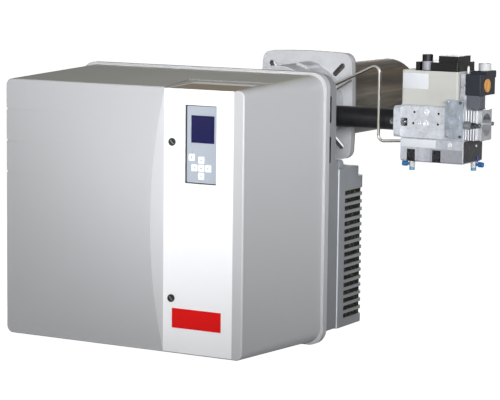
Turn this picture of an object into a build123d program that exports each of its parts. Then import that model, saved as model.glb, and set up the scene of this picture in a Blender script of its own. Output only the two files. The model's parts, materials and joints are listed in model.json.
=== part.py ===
from build123d import *
import os
from math import atan2, cos, degrees, pi, radians, sin, sqrt

# Industrial forced-draught gas burner. Millimetres.
# The origin is on the blast tube's axis, at the face of the gasket that meets the boiler.
# +Y points into the boiler, +Z up and +X towards the gas train.

# ---------------------------------------------------------------- hood
HOOD_WIDTH = 543
HOOD_HEIGHT = 510
HOOD_LEFT = -416
HOOD_BOTTOM = -447
HOOD_REAR = -207
HOOD_DEPTH = 294
HOOD_FRONT = HOOD_REAR - HOOD_DEPTH
HOOD_DRAFT = 13
HOOD_WALL = 4.5
HOOD_FRONT_CORNER = 14
HOOD_REAR_CORNER = 32
HOOD_EDGE_RADIUS = 3
RIM_DEPTH = 16
RIM_LIP = 5.5
RIM_BACK = HOOD_REAR + RIM_DEPTH
PILLOW_BULGE = 22
PILLOW_MARGIN = 5
FLANK_RUN = 15.5
GROOVE_HEIGHT = 3.5
GROOVE_DEPTH = 2
GROOVE_TOP_Z = 2.6
GROOVE_PITCH = 62.3
GROOVE_LENGTHS = (164, 141, 105)
TOP_POCKET_DEPTH = 2.5
TOP_POCKET_LENGTH = 140
TOP_POCKET_SLANT = 30
TOP_POCKET_RIGHT = 108

# ---------------------------------------------------------------- fascia and display
FASCIA_LEFT = -47.5
FASCIA_RIGHT = 105
FASCIA_BOTTOM = -444.5
FASCIA_TOP = 61.3
FASCIA_THICK = 2.5
BADGE_WIDTH = 108
BADGE_HEIGHT = 38
BADGE_LEFT = -27
BADGE_GAP = 18.6
BADGE_SEAT = 1
BADGE_PROUD = 0.6
WINDOW_LEFT = -1.5
WINDOW_WIDTH = 69.2
WINDOW_BOTTOM = -117.2
WINDOW_HEIGHT = 148.6
WINDOW_GAP = 1.6
DISPLAY_FRONT = HOOD_FRONT + 5.5
DISPLAY_THICK = 10
SCREEN_LEFT = 9
SCREEN_BOTTOM = -40
SCREEN_WIDTH = 51
SCREEN_HEIGHT = 52
SCREEN_RECESS = 1.2
SCREEN_THICK = 2.5
KEY_WIDTH = 13
KEY_HEIGHT = 13.4
KEY_CORNER = 1.6
KEY_THICK = 4
KEY_PROUD = 1.4
KEY_TRAVEL = 1
KEY_GAP = 0.3
PAD_X = 32.4
PAD_Z = -87.2
PAD_PITCH_X = 15
PAD_PITCH_Z = 15.2
RESET_KEY_X = 11.4
RESET_KEY_Z = -67.7

# ---------------------------------------------------------------- hood fasteners and supports
FASTENER_X = -29
FASTENER_UPPER_Z = -40.4
FASTENER_SPACING = 300
FASTENER_HEAD_R = 7.5
FASTENER_HEAD_HIGH = 2.2
FASTENER_STEM_R = 5
FASTENER_STEM_LENGTH = 17
FASTENER_SLOT = 1.8
POST_R = 9
POST_GAP = 0.5
STEM_CLEARANCE = 0.1
RECEPTACLE_CLEARANCE = 0.4
RUNNING = 0.05

# ---------------------------------------------------------------- base housing and air box
BASE_LEFT = -429
BASE_RIGHT = 140
BASE_BOTTOM = -441
BASE_TOP = 76
BASE_FRONT = RIM_BACK + 0.5
BASE_DEPTH = 50.5
BASE_BACK = BASE_FRONT + BASE_DEPTH
BASE_WALL = 4
BASE_CORNER = 34
BASE_FOOT_CORNER = 6
BASE_REAR_ROUND = 17
GRIP_INSET = 12.5
GRIP_WIDTH = 9.5
GRIP_HEIGHT = 54
GRIP_Z = (7.2, -73.5)
AIR_PROUD = 2
AIR_TOP = -116
AIR_BACK = -24
AIR_WALL = 3.5
AIR_CORNER = 14
AIR_FRONT_ROUND = 5
AIR_FRAME = 9
CAP_BOTTOM = -137
CAP_BACK = -47
CAP_CORNER = 8
KNUCKLE_WIDTH = 26
KNUCKLE_DEPTH = 22
KNUCKLE_HEIGHT = 19
LOUVRE_COUNT = 17
LOUVRE_PITCH = 15.75
LOUVRE_HEIGHT = 9.5
LOUVRE_TOP_Z = -167
LOUVRE_FRONT = -112
LOUVRE_WRAP = 24
MESH_THICK = 3
MESH_REACH = 34

# ---------------------------------------------------------------- fan, motor and air damper
FAN_X = -186
FAN_Z = -232
SCROLL_DEPTH = 100
SCROLL_BACK = BASE_BACK - BASE_WALL
SCROLL_FRONT = SCROLL_BACK - SCROLL_DEPTH
SCROLL_WALL = 4
SCROLL_TONGUE_R = 140
SCROLL_OUTLET_R = 182
SCROLL_TONGUE_ANGLE = 40
CHAMBER_HALF = 88
CHAMBER_TOP = 58
CHAMBER_CORNER = 20
COVER_THICK = 6
WHEEL_R = 125
WHEEL_EYE_R = 96
WHEEL_FRONT = SCROLL_FRONT + 6
WHEEL_BACK = SCROLL_BACK - 14
WHEEL_PLATE = 3
HUB_R = 22
HUB_LENGTH = 40
BLADE_COUNT = 30
BLADE_THICK = 2
BLADE_ARC_R = 24
INLET_R = 86
INLET_WALL = 3
INLET_LIP_R = 105
INLET_REACH = 20
MOTOR_R = 62
MOTOR_RIB_HIGH = 8
MOTOR_RIB_THICK = 4
MOTOR_RIBS = 20
MOTOR_LENGTH = 165
MOTOR_FLANGE_R = 76
MOTOR_FLANGE_THICK = 10
SHAFT_R = 8
DUCT_HALF_WIDTH = 51
DUCT_HALF_HEIGHT = 74
DUCT_WALL = 3
DUCT_BACK = -62
FLAP_Y = -98
FLAP_THICK = 3
FLAP_CLEARANCE = 1
FLAP_SHAFT_R = 5
SERVO_WIDTH = 70
SERVO_DEPTH = 60
SERVO_HEIGHT = 62

# ---------------------------------------------------------------- neck, flange and combustion head
FLANGE_WIDTH = 214
FLANGE_HEIGHT = 223
FLANGE_CROWN = 3.5
FLANGE_THICK = 14
FLANGE_CORNER = 20
GASKET_THICK = 4
STUD_PCD_R = 106
STUD_SLOT_LENGTH = 34
STUD_SLOT_WIDTH = 11
GASKET_GAP = 0.5
TUBE_R = 77
TUBE_WALL = 2.5
TUBE_LENGTH = 370
SPIGOT_R = 76
SPIGOT_LENGTH = 60
NECK_R = 87
NECK_BORE_R = 76.1
NECK_BACK = -FLANGE_THICK - GASKET_THICK
NECK_HUMP_HIGH = 6
NECK_HUMP_TURN = 17
LUG_WIDTH = 26
LUG_HIGH = 14
LUG_GAP = 4
LANCE_R = 14
LANCE_WALL = 2.5
LANCE_BACK = -112
LANCE_HEAD_Y = 286
LANCE_HEAD_R = 28
LANCE_HEAD_LENGTH = 30
DISC_R = 60
DISC_THICK = 2.5
DISC_SLOTS = 8
DISC_SLOT_LENGTH = 26
DISC_SLOT_WIDTH = 5
DISC_BORE_R = 15
ELECTRODE_R = 1.5
ELECTRODE_CERAMIC_R = 4
ELECTRODE_RADIUS = 36
ELECTRODE_ANGLES = (70, 110, 270)
HEAD_ROD_R = 5
HEAD_ROD_FRONT = -276
KNOB_R = 16
KNOB_THICK = 12

# ---------------------------------------------------------------- gas pipe
GAS_Y = -96
GAS_Z = -12.5
PIPE_R = 21.2
PIPE_WALL = 3.25
BOSS_R = 33
BOSS_X = 104
PIPE_START = 90
ELBOW_R = 24

# ---------------------------------------------------------------- gas valve
VALVE_LEFT = 273
VALVE_RIGHT = 408
VALVE_FRONT = -133
VALVE_BACK = -40
VALVE_TOP = 22
REGULATOR_TOP = -45
REGULATOR_BOTTOM = -90
COIL_RIGHT = 393
COIL_TOP = 90
COIL_BACK = -47
OUTLET_THICK = 15
OUTLET_HALF_Y = 40
OUTLET_HALF_Z = 30.5
FLANGE_BOLT_Y = 32
FLANGE_BOLT_R = 4
FLANGE_NUT_R = 7
INLET_BORE_R = 22.4
INLET_BORE_LENGTH = 20
INLET_END = 440
INLET_PLATE = 9
INLET_HUB_HALF = 24.9
INLET_EAR_HALF = 9
INLET_RIB = 3.5
INLET_GROOVE = 1.2
NUT_HIGH = 8
STUD_END = 10
PORT_R = PIPE_R - PIPE_WALL
FLOW_R = 20
PLUNGER_SPACING = 56
PLUNGER_R = 16
PLUNGER_BORE_R = 17
CORE_R = 10
PLUNGER_LIFT = 6
CONNECTOR_LEFT = 301
CONNECTOR_BASE = 17
CONNECTOR_BOX_LEFT = 350
CONNECTOR_BOX_HIGH = 13
CONNECTOR_CAP_X = 322.5
CONNECTOR_CAP_HIGH = 32
CONNECTOR_CAP_R = 10.7
PLATE_WIDTH = 38
PLATE_HEIGHT = 76
PLATE_THICK = 4
PLATE_RING_R = 13
COVER_SCREW_R = 3
WINDOW_XS = (296, 351)
ADJUSTER_Z = -77
ADJUSTER_R = 6
ADJUSTER_RECESS = 6
ADJUSTER_LENGTH = 20
WINDOW_TOP = -65
WINDOW_HALF = 9
FITTING_R = 6
FITTING_HIGH = 11
COLLAR_HIGH = 7
PLUG_NECK_R = 3
PLUG_HEAD_R = 5.3
PLUG_HEAD_LONG = 11
PLUG_NECK_LONG = 4
SWITCH_LEFT = 405
SWITCH_RIGHT = 438
SWITCH_FRONT = -124
SWITCH_BACK = -52
SWITCH_BOTTOM = 45
SWITCH_TOP = 86
LID_HIGH = 6
LID_FRONT = -101
DIAL_R = 13
DIAL_THICK = 4
DIAL_Y = -94
DIAL_Z = 64
SWITCH_PLUG_R = 12.5
SWITCH_PLUG_HIGH = 14
ADAPTOR_BACK = -94
BRACKET_LEFT = 395
IMPULSE_R = 3
FURNACE_TUBE_R = 4.5


# ---------------------------------------------------------------- helpers
def block(x_limits, y_limits, z_limits):
    """A box between pairs of limits."""
    size = [high - low for low, high in (x_limits, y_limits, z_limits)]
    middle = [(low + high) / 2 for low, high in (x_limits, y_limits, z_limits)]
    return Pos(*middle) * Box(*size)


def about(middle, half):
    """The two limits that lie half a width either side of the middle."""
    return middle - half, middle + half


def along_x(sketch, start, end):
    """A sketch of Y and Z made solid between two places on X."""
    return Pos(start, 0, 0) * extrude(Plane.YZ * sketch, end - start)


def along_y(sketch, start, end):
    """A sketch of X and Z made solid between two places on Y."""
    return Pos(0, end, 0) * extrude(Plane.XZ * sketch, end - start)


def along_z(sketch, start, end):
    """A sketch of X and Y made solid between two places on Z."""
    return Pos(0, 0, start) * extrude(sketch, end - start)


def disc_x(radius, start, end, y, z):
    return along_x(Pos(y, z) * Circle(radius), start, end)


def disc_y(radius, start, end, x, z):
    return along_y(Pos(x, z) * Circle(radius), start, end)


def disc_z(radius, start, end, x, y):
    return along_z(Pos(x, y) * Circle(radius), start, end)


def hexagon_x(radius, start, end, y, z):
    return along_x(Pos(y, z) * RegularPolygon(radius, 6), start, end)


# ---------------------------------------------------------------- hood
HOOD_X = HOOD_LEFT + HOOD_WIDTH / 2
HOOD_Z = HOOD_BOTTOM + HOOD_HEIGHT / 2
HOOD_TOP = HOOD_BOTTOM + HOOD_HEIGHT


def hood_outline(y, spread, corner):
    """The hood's rounded outline at one depth, spread beyond the front's size."""
    outline = RectangleRounded(HOOD_WIDTH + 2 * spread, HOOD_HEIGHT + 2 * spread, corner)
    return Pos(0, y, 0) * (Plane.XZ * (Pos(HOOD_X, HOOD_Z) * outline))


def pillow_section(x, bulge):
    """A slice of the domed front at one X: a flat back and an arched face."""
    low = HOOD_BOTTOM + PILLOW_MARGIN
    high = HOOD_TOP - PILLOW_MARGIN
    root = HOOD_FRONT + 1
    arch = ThreePointArc((HOOD_FRONT, low), (HOOD_FRONT - bulge, HOOD_Z), (HOOD_FRONT, high))
    rest = Polyline((HOOD_FRONT, high), (root, high), (root, low), (HOOD_FRONT, low))
    return Pos(x, 0, 0) * (Plane.YZ * make_face([arch, *rest.edges()]))


def pillow():
    """The domed field of the front, cut off by the slanting flank beside the fascia."""
    left = HOOD_LEFT + PILLOW_MARGIN
    span = FASCIA_LEFT - left
    shares = (0, 1 / 3, 2 / 3, 1)
    field = loft([pillow_section(left + span * s, PILLOW_BULGE * (0.02 + 1.02 * sin(pi / 2 * s))) for s in shares])
    reach = 2 * PILLOW_BULGE
    flank = Polyline(
        (FASCIA_LEFT, HOOD_FRONT),
        (FASCIA_LEFT - 2 * FLANK_RUN, HOOD_FRONT - reach),
        (FASCIA_LEFT + reach, HOOD_FRONT - reach),
        (FASCIA_LEFT + reach, HOOD_FRONT),
        close=True,
    )
    return field - along_z(make_face(flank), HOOD_BOTTOM, HOOD_TOP)


def groove(z, length):
    """A cutter for one fading groove, which wraps round the left edge."""
    share = (z - HOOD_Z) / (HOOD_HEIGHT / 2)
    run = length / (FASCIA_LEFT - HOOD_LEFT)
    surface = HOOD_FRONT - PILLOW_BULGE * sin(pi / 2 * run) * (1 - share**2)
    clear = 40
    outline = Polyline(
        (HOOD_LEFT - clear, HOOD_FRONT - clear),
        (HOOD_LEFT + length, HOOD_FRONT - clear),
        (HOOD_LEFT + length, surface),
        (HOOD_LEFT + GROOVE_DEPTH, HOOD_FRONT + GROOVE_DEPTH),
        (HOOD_LEFT - HOOD_DRAFT * clear / HOOD_DEPTH, HOOD_FRONT + clear),
        (HOOD_LEFT - clear, HOOD_FRONT + clear),
        close=True,
    )
    return along_z(make_face(outline), z - GROOVE_HEIGHT / 2, z + GROOVE_HEIGHT / 2)


def top_pocket():
    """A cutter for the shallow step in the top, behind the fascia."""
    rise = HOOD_DRAFT * TOP_POCKET_LENGTH / HOOD_DEPTH
    back = HOOD_FRONT + TOP_POCKET_LENGTH
    floor = HOOD_TOP - TOP_POCKET_DEPTH
    side = Polyline(
        (HOOD_FRONT - 1, floor), (back, floor + rise), (back, floor + 40), (HOOD_FRONT - 1, floor + 40), close=True
    )
    plan = Polyline(
        (FASCIA_LEFT, HOOD_FRONT - 1),
        (FASCIA_LEFT - TOP_POCKET_SLANT, back),
        (TOP_POCKET_RIGHT, back),
        (TOP_POCKET_RIGHT, HOOD_FRONT - 1),
        close=True,
    )
    tall = along_z(make_face(plan), HOOD_TOP - 10, HOOD_TOP + 40)
    return along_x(make_face(side), HOOD_LEFT, HOOD_LEFT + HOOD_WIDTH) & tall


def window(y_limits):
    x_limits = (WINDOW_LEFT, WINDOW_LEFT + WINDOW_WIDTH)
    return block(x_limits, y_limits, (WINDOW_BOTTOM, WINDOW_BOTTOM + WINDOW_HEIGHT))


def fastener_holes(radius, start, end):
    upper = disc_y(radius, start, end, FASTENER_X, FASTENER_UPPER_Z)
    return upper + disc_y(radius, start, end, FASTENER_X, FASTENER_UPPER_Z - FASTENER_SPACING)


def hood_shell():
    """The lift-off hood: drafted box, domed front, grooves, rim lip and fascia seat."""
    front = hood_outline(HOOD_FRONT, 0, HOOD_FRONT_CORNER)
    rear = hood_outline(HOOD_REAR, HOOD_DRAFT, HOOD_REAR_CORNER)
    body = loft([front, rear])
    body = fillet(body.faces().sort_by(Axis.Y)[0].edges(), HOOD_EDGE_RADIUS)
    dome = pillow()
    rim = along_y(
        Pos(HOOD_X, HOOD_Z)
        * RectangleRounded(
            HOOD_WIDTH + 2 * (HOOD_DRAFT + RIM_LIP), HOOD_HEIGHT + 2 * (HOOD_DRAFT + RIM_LIP), HOOD_REAR_CORNER
        ),
        HOOD_REAR,
        RIM_BACK,
    )
    inner_front = hood_outline(HOOD_FRONT + HOOD_WALL, -HOOD_WALL, HOOD_FRONT_CORNER - HOOD_WALL)
    inner_rear = hood_outline(HOOD_REAR, HOOD_DRAFT - HOOD_WALL, HOOD_REAR_CORNER - HOOD_WALL)
    mouth_half = (HOOD_DRAFT - HOOD_WALL) * 2
    mouth = along_y(
        Pos(HOOD_X, HOOD_Z)
        * RectangleRounded(HOOD_WIDTH + mouth_half, HOOD_HEIGHT + mouth_half, HOOD_REAR_CORNER - HOOD_WALL),
        HOOD_REAR,
        RIM_BACK,
    )
    shell = body + dome + rim - loft([inner_front, inner_rear]) - mouth - Pos(0, HOOD_WALL, 0) * dome
    seat = block((FASCIA_LEFT, FASCIA_RIGHT), (HOOD_FRONT - 1, HOOD_FRONT + FASCIA_THICK), (FASCIA_BOTTOM, HOOD_TOP + 9))
    shell = shell - seat - top_pocket() - window((HOOD_FRONT, HOOD_FRONT + HOOD_WALL))
    for row, length in enumerate(GROOVE_LENGTHS):
        shell = shell - groove(GROOVE_TOP_Z - GROOVE_PITCH * row, length)
    return shell - fastener_holes(FASTENER_STEM_R + STEM_CLEARANCE, HOOD_FRONT, HOOD_FRONT + HOOD_WALL)


def fascia():
    """The white front panel with the display window, the badge seat and two fastener holes."""
    y_limits = (HOOD_FRONT, HOOD_FRONT + FASCIA_THICK)
    panel = block((FASCIA_LEFT, FASCIA_RIGHT), y_limits, (FASCIA_BOTTOM, FASCIA_TOP))
    panel = fillet(panel.edges().filter_by(Axis.Y), 2)
    panel = panel - window(y_limits) - fastener_holes(FASTENER_STEM_R + STEM_CLEARANCE, *y_limits)
    return panel - badge(BADGE_SEAT)


def badge(depth):
    """The plain badge's block, from its face down to a depth below the fascia's face."""
    x_limits = (BADGE_LEFT, BADGE_LEFT + BADGE_WIDTH)
    top = FASTENER_UPPER_Z - FASTENER_SPACING - BADGE_GAP
    z_limits = (top - BADGE_HEIGHT, top)
    return block(x_limits, (HOOD_FRONT - BADGE_PROUD, HOOD_FRONT + depth), z_limits)


def badge_plate():
    return badge(BADGE_SEAT)


def hood_fastener(z):
    """A quarter-turn fastener: slotted round head and a stem."""
    head = disc_y(FASTENER_HEAD_R, HOOD_FRONT - FASTENER_HEAD_HIGH, HOOD_FRONT, FASTENER_X, z)
    stem = disc_y(FASTENER_STEM_R, HOOD_FRONT, HOOD_FRONT + FASTENER_STEM_LENGTH, FASTENER_X, z)
    slot_depth = FASTENER_HEAD_HIGH / 2
    slot_y = (HOOD_FRONT - FASTENER_HEAD_HIGH, HOOD_FRONT - FASTENER_HEAD_HIGH + slot_depth)
    slot = block(about(FASTENER_X, FASTENER_SLOT / 2), slot_y, about(z, FASTENER_HEAD_R))
    return head + stem - slot


def hood_posts():
    """The two posts that take the fasteners: one on the scroll cover, one on the base."""
    front = HOOD_FRONT + HOOD_WALL + POST_GAP
    upper = disc_y(POST_R, front, SCROLL_FRONT - COVER_THICK, FASTENER_X, FASTENER_UPPER_Z)
    lower = disc_y(POST_R, front, BASE_BACK - BASE_WALL, FASTENER_X, FASTENER_UPPER_Z - FASTENER_SPACING)
    depth = HOOD_FRONT + FASTENER_STEM_LENGTH + 2
    return upper + lower - fastener_holes(FASTENER_STEM_R + RECEPTACLE_CLEARANCE, front, depth)


# ---------------------------------------------------------------- display
def key_places():
    """The six keys: a cross of five and the reset key at its upper left."""
    return {
        "key_reset": (RESET_KEY_X, RESET_KEY_Z),
        "key_up": (PAD_X, PAD_Z + PAD_PITCH_Z),
        "key_left": (PAD_X - PAD_PITCH_X, PAD_Z),
        "key_enter": (PAD_X, PAD_Z),
        "key_right": (PAD_X + PAD_PITCH_X, PAD_Z),
        "key_down": (PAD_X, PAD_Z - PAD_PITCH_Z),
    }


def key_solid(x, z):
    start = DISPLAY_FRONT - KEY_PROUD
    return along_y(Pos(x, z) * RectangleRounded(KEY_WIDTH, KEY_HEIGHT, KEY_CORNER), start, start + KEY_THICK)


def display_module():
    """The keypad and display frame, with a well for each key and a seat for the screen."""
    x_limits = (WINDOW_LEFT + WINDOW_GAP, WINDOW_LEFT + WINDOW_WIDTH - WINDOW_GAP)
    z_limits = (WINDOW_BOTTOM + WINDOW_GAP, WINDOW_BOTTOM + WINDOW_HEIGHT - WINDOW_GAP)
    frame = block(x_limits, (DISPLAY_FRONT, DISPLAY_FRONT + DISPLAY_THICK), z_limits)
    frame = fillet(frame.edges().filter_by(Axis.Y), 3)
    seat_depth = SCREEN_RECESS + SCREEN_THICK
    x_seat = (SCREEN_LEFT, SCREEN_LEFT + SCREEN_WIDTH)
    frame = frame - block(
        x_seat, (DISPLAY_FRONT, DISPLAY_FRONT + seat_depth), (SCREEN_BOTTOM, SCREEN_BOTTOM + SCREEN_HEIGHT)
    )
    well_depth = KEY_THICK - KEY_PROUD + KEY_TRAVEL + KEY_GAP
    outline = RectangleRounded(KEY_WIDTH + 2 * KEY_GAP, KEY_HEIGHT + 2 * KEY_GAP, KEY_CORNER + KEY_GAP)
    for x, z in key_places().values():
        frame = frame - along_y(Pos(x, z) * outline, DISPLAY_FRONT, DISPLAY_FRONT + well_depth)
    return frame


def display_screen():
    start = DISPLAY_FRONT + SCREEN_RECESS
    x_limits = (SCREEN_LEFT, SCREEN_LEFT + SCREEN_WIDTH)
    return block(x_limits, (start, start + SCREEN_THICK), (SCREEN_BOTTOM, SCREEN_BOTTOM + SCREEN_HEIGHT))


BRACKET_SHEET = 3
BRACKET_MARGIN = 4
ARM_RIGHT = WINDOW_LEFT + WINDOW_WIDTH + 2 * BRACKET_MARGIN
ARM_Z = (-70, 20)


def front_supports():
    """The two hood posts and the bent bracket that carries the display module."""
    back = DISPLAY_FRONT + DISPLAY_THICK
    z_limits = (WINDOW_BOTTOM, WINDOW_BOTTOM + WINDOW_HEIGHT)
    plate = block((WINDOW_LEFT, ARM_RIGHT), (back, back + BRACKET_SHEET), z_limits)
    arm = block((ARM_RIGHT - BRACKET_SHEET, ARM_RIGHT), (back, SCROLL_FRONT - COVER_THICK), ARM_Z)
    foot_start = SCROLL_FRONT - COVER_THICK - BRACKET_SHEET
    foot = block((ARM_RIGHT - 26, ARM_RIGHT), (foot_start, SCROLL_FRONT - COVER_THICK), ARM_Z)
    return hood_posts() + (plate + arm + foot)


# ---------------------------------------------------------------- base housing and air box
def base_outline(inset):
    """The tray's outline: large round corners at the top, small ones at the foot."""
    width = BASE_RIGHT - BASE_LEFT - 2 * inset
    height = BASE_TOP - BASE_BOTTOM - 2 * inset
    middle_x = (BASE_LEFT + BASE_RIGHT) / 2
    whole = Pos(middle_x, (BASE_TOP + BASE_BOTTOM) / 2) * RectangleRounded(width, height, BASE_CORNER - inset)
    foot = RectangleRounded(width, height / 2, max(BASE_FOOT_CORNER - inset, 1))
    return whole + Pos(middle_x, BASE_BOTTOM + inset + height / 4) * foot


def tray_solid(inset, back):
    """The tray's outline made solid, with its rear edge rounded above the air box."""
    solid = along_y(base_outline(inset), BASE_FRONT, back)
    rounded = fillet(solid.faces().sort_by(Axis.Y)[-1].edges(), BASE_REAR_ROUND - inset)
    square = solid & block((BASE_LEFT, BASE_RIGHT), (BASE_FRONT, back), (BASE_BOTTOM, AIR_TOP + KNUCKLE_HEIGHT - inset))
    return rounded + square


def neck_opening(start, end):
    """The way from the scroll chamber into the neck: a circle cut off under the hood."""
    circle = disc_y(NECK_BORE_R, start, end, 0, 0)
    return circle & block(about(0, NECK_R), (start, end), (-NECK_R, CHAMBER_TOP - SCROLL_WALL))


def base_housing():
    """The tray behind the hood: rounded wall, back, fan inlet, neck opening and hand grips."""
    tray = tray_solid(0, BASE_BACK) - tray_solid(BASE_WALL, BASE_BACK - BASE_WALL)
    tray = tray - disc_y(INLET_R + INLET_WALL, BASE_BACK - BASE_WALL, BASE_BACK, FAN_X, FAN_Z)
    tray = tray - neck_opening(BASE_BACK - BASE_WALL, BASE_BACK)
    for z in GRIP_Z:
        grip = Pos(BASE_FRONT + GRIP_INSET, z) * SlotOverall(GRIP_HEIGHT, GRIP_WIDTH, rotation=90)
        tray = tray - along_x(grip, BASE_RIGHT - BASE_WALL, BASE_RIGHT)
        tray = tray - along_x(grip, BASE_LEFT, BASE_LEFT + BASE_WALL)
    return tray


AIR_LEFT = BASE_LEFT - AIR_PROUD
AIR_RIGHT = BASE_RIGHT + AIR_PROUD
AIR_BOTTOM = BASE_BOTTOM


def air_plan(inset, rear, corner):
    """The air box in plan: square to the base, round at its two rear corners."""
    left = AIR_LEFT + inset
    right = AIR_RIGHT - inset
    back = rear - inset
    plan = make_face(Polyline((left, BASE_BACK), (right, BASE_BACK), (right, back), (left, back), close=True))
    return fillet(plan.vertices().group_by(Axis.Y)[-1], corner - inset)


def air_solid(inset):
    """The box and the shallower cap on top of it, drawn in by an inset."""
    box = along_z(air_plan(inset, AIR_BACK, AIR_CORNER), AIR_BOTTOM + inset, CAP_BOTTOM - inset)
    return box + along_z(air_plan(inset, CAP_BACK, CAP_CORNER), CAP_BOTTOM - inset, AIR_TOP - inset)


def air_frame():
    """The inside of the box: the full width at the back, narrower where it meets the base."""
    space = air_solid(AIR_WALL)
    left = (AIR_LEFT, AIR_LEFT + AIR_FRAME)
    right = (AIR_RIGHT - AIR_FRAME, AIR_RIGHT)
    for x_limits in (left, right):
        space = space - block(x_limits, (BASE_BACK, BASE_BACK + AIR_FRAME), (AIR_BOTTOM, AIR_TOP))
    return space


def air_knuckle(start):
    """The rounded shoulder on top of the box, against the base."""
    z_limits = (AIR_TOP, AIR_TOP + KNUCKLE_HEIGHT)
    shoulder = block((start, start + KNUCKLE_WIDTH), (BASE_BACK, BASE_BACK + KNUCKLE_DEPTH), z_limits)
    shoulder = fillet(shoulder.faces().sort_by(Axis.Z)[-1].edges().sort_by(Axis.Y)[-1], 7)
    return fillet(shoulder.edges().filter_by(Axis.Y), 5)


def air_box():
    """The louvred air intake box behind the base, open towards the fan inlet."""
    box = air_solid(0)
    upright = [edge for edge in box.edges().filter_by(Axis.Z) if edge.length > AIR_CORNER]
    box = fillet(ShapeList(upright).group_by(Axis.Y)[0], AIR_FRONT_ROUND)
    box = box + air_knuckle(AIR_LEFT) + air_knuckle(AIR_RIGHT - KNUCKLE_WIDTH) - air_frame()
    for row in range(LOUVRE_COUNT):
        z_limits = about(LOUVRE_TOP_Z - LOUVRE_PITCH * row, LOUVRE_HEIGHT / 2)
        box = box - block((AIR_RIGHT - LOUVRE_WRAP, AIR_RIGHT), (LOUVRE_FRONT, AIR_BACK), z_limits)
        box = box - block((AIR_LEFT, AIR_LEFT + LOUVRE_WRAP), (LOUVRE_FRONT, AIR_BACK), z_limits)
    return box


def air_inlet_mesh():
    """A bent sheet of filter mesh behind the louvres of each side."""
    outer = air_plan(AIR_WALL, AIR_BACK, AIR_CORNER)
    band = outer - air_plan(AIR_WALL + MESH_THICK, AIR_BACK, AIR_CORNER)
    sheet = along_z(band, AIR_BOTTOM + AIR_WALL, CAP_BOTTOM - AIR_WALL)
    y_limits = (BASE_BACK + AIR_FRAME, AIR_BACK)
    z_limits = (AIR_BOTTOM, AIR_TOP)
    left = sheet & block((AIR_LEFT, AIR_LEFT + MESH_REACH), y_limits, z_limits)
    return left + (sheet & block((AIR_RIGHT - MESH_REACH, AIR_RIGHT), y_limits, z_limits))


# ---------------------------------------------------------------- fan, motor and air damper
def scroll_outline(inset):
    """The spiral round the fan, its tangent outlet and the chamber behind the burner head."""
    tongue = SCROLL_TONGUE_R - inset
    growth = SCROLL_OUTLET_R - SCROLL_TONGUE_R
    sweep = 360 - (90 - SCROLL_TONGUE_ANGLE)
    count = 12
    points = []
    for step in range(count + 1):
        share = step / count
        angle = radians(SCROLL_TONGUE_ANGLE - sweep * share)
        reach = tongue + growth * share
        points.append((FAN_X + reach * cos(angle), FAN_Z + reach * sin(angle)))
    spiral = Spline(*points)
    top = points[-1][1]
    bottom = points[0][1]
    lines = Polyline(points[-1], (0, top), (0, bottom), points[0])
    chamber_bottom = bottom
    half = CHAMBER_HALF - inset
    height = CHAMBER_TOP - inset - chamber_bottom
    chamber = Pos(0, chamber_bottom + height / 2) * RectangleRounded(2 * half, height, CHAMBER_CORNER - inset)
    return make_face([spiral, *lines.edges()]) + chamber


def fan_scroll():
    """The fan's spiral casing, with its back wall against the base."""
    casing = along_y(scroll_outline(0), SCROLL_FRONT, SCROLL_BACK)
    casing = casing - along_y(scroll_outline(SCROLL_WALL), SCROLL_FRONT, SCROLL_BACK - SCROLL_WALL)
    casing = casing - disc_y(INLET_R + INLET_WALL, SCROLL_BACK - SCROLL_WALL, SCROLL_BACK, FAN_X, FAN_Z)
    return casing - neck_opening(SCROLL_BACK - SCROLL_WALL, SCROLL_BACK)


def scroll_cover():
    """The cover plate that closes the scroll and carries the motor."""
    plate = along_y(scroll_outline(0), SCROLL_FRONT - COVER_THICK, SCROLL_FRONT)
    plate = plate - disc_y(SHAFT_R + 6, SCROLL_FRONT - COVER_THICK, SCROLL_FRONT, FAN_X, FAN_Z)
    return plate - disc_y(HEAD_ROD_R + RUNNING, SCROLL_FRONT - COVER_THICK, SCROLL_FRONT, 0, 0)


def fan_blade():
    """One forward-curved blade, as an arc strip between the wheel's eye and its rim."""
    middle_r = (WHEEL_R + WHEEL_EYE_R) / 2
    ring = Circle(BLADE_ARC_R + BLADE_THICK / 2) - Circle(BLADE_ARC_R - BLADE_THICK / 2)
    band = Circle(WHEEL_R - 1) - Circle(WHEEL_EYE_R)
    strip = (Pos(middle_r, -BLADE_ARC_R) * ring) & band
    strip = strip & (Pos(middle_r, 0) * Rectangle(2 * (WHEEL_R - WHEEL_EYE_R), BLADE_ARC_R * 2))
    return strip.faces().sort_by(Axis.Y)[-1]


def fan_wheel():
    """The fan wheel: back plate, hub, ring of curved blades and inlet ring."""
    plate = Circle(WHEEL_R) - Circle(SHAFT_R)
    wheel = along_y(plate, WHEEL_FRONT, WHEEL_FRONT + WHEEL_PLATE)
    wheel = wheel + along_y(Circle(HUB_R) - Circle(SHAFT_R), WHEEL_FRONT, WHEEL_FRONT + HUB_LENGTH)
    wheel = wheel + along_y(Circle(WHEEL_R) - Circle(WHEEL_EYE_R), WHEEL_BACK - WHEEL_PLATE, WHEEL_BACK)
    blade = along_y(fan_blade(), WHEEL_FRONT + WHEEL_PLATE, WHEEL_BACK - WHEEL_PLATE)
    blades = [Rot(0, 360 / BLADE_COUNT * turn, 0) * blade for turn in range(BLADE_COUNT)]
    return Pos(FAN_X, 0, FAN_Z) * (wheel + blades)


MOTOR_BACK = SCROLL_FRONT - COVER_THICK
MOTOR_FRONT = MOTOR_BACK - MOTOR_LENGTH


def motor_shaft():
    """The motor's shaft, from its front bearing through the cover into the fan's hub."""
    return disc_y(SHAFT_R, MOTOR_FRONT + 10, WHEEL_FRONT + HUB_LENGTH + 2, FAN_X, FAN_Z)


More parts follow.
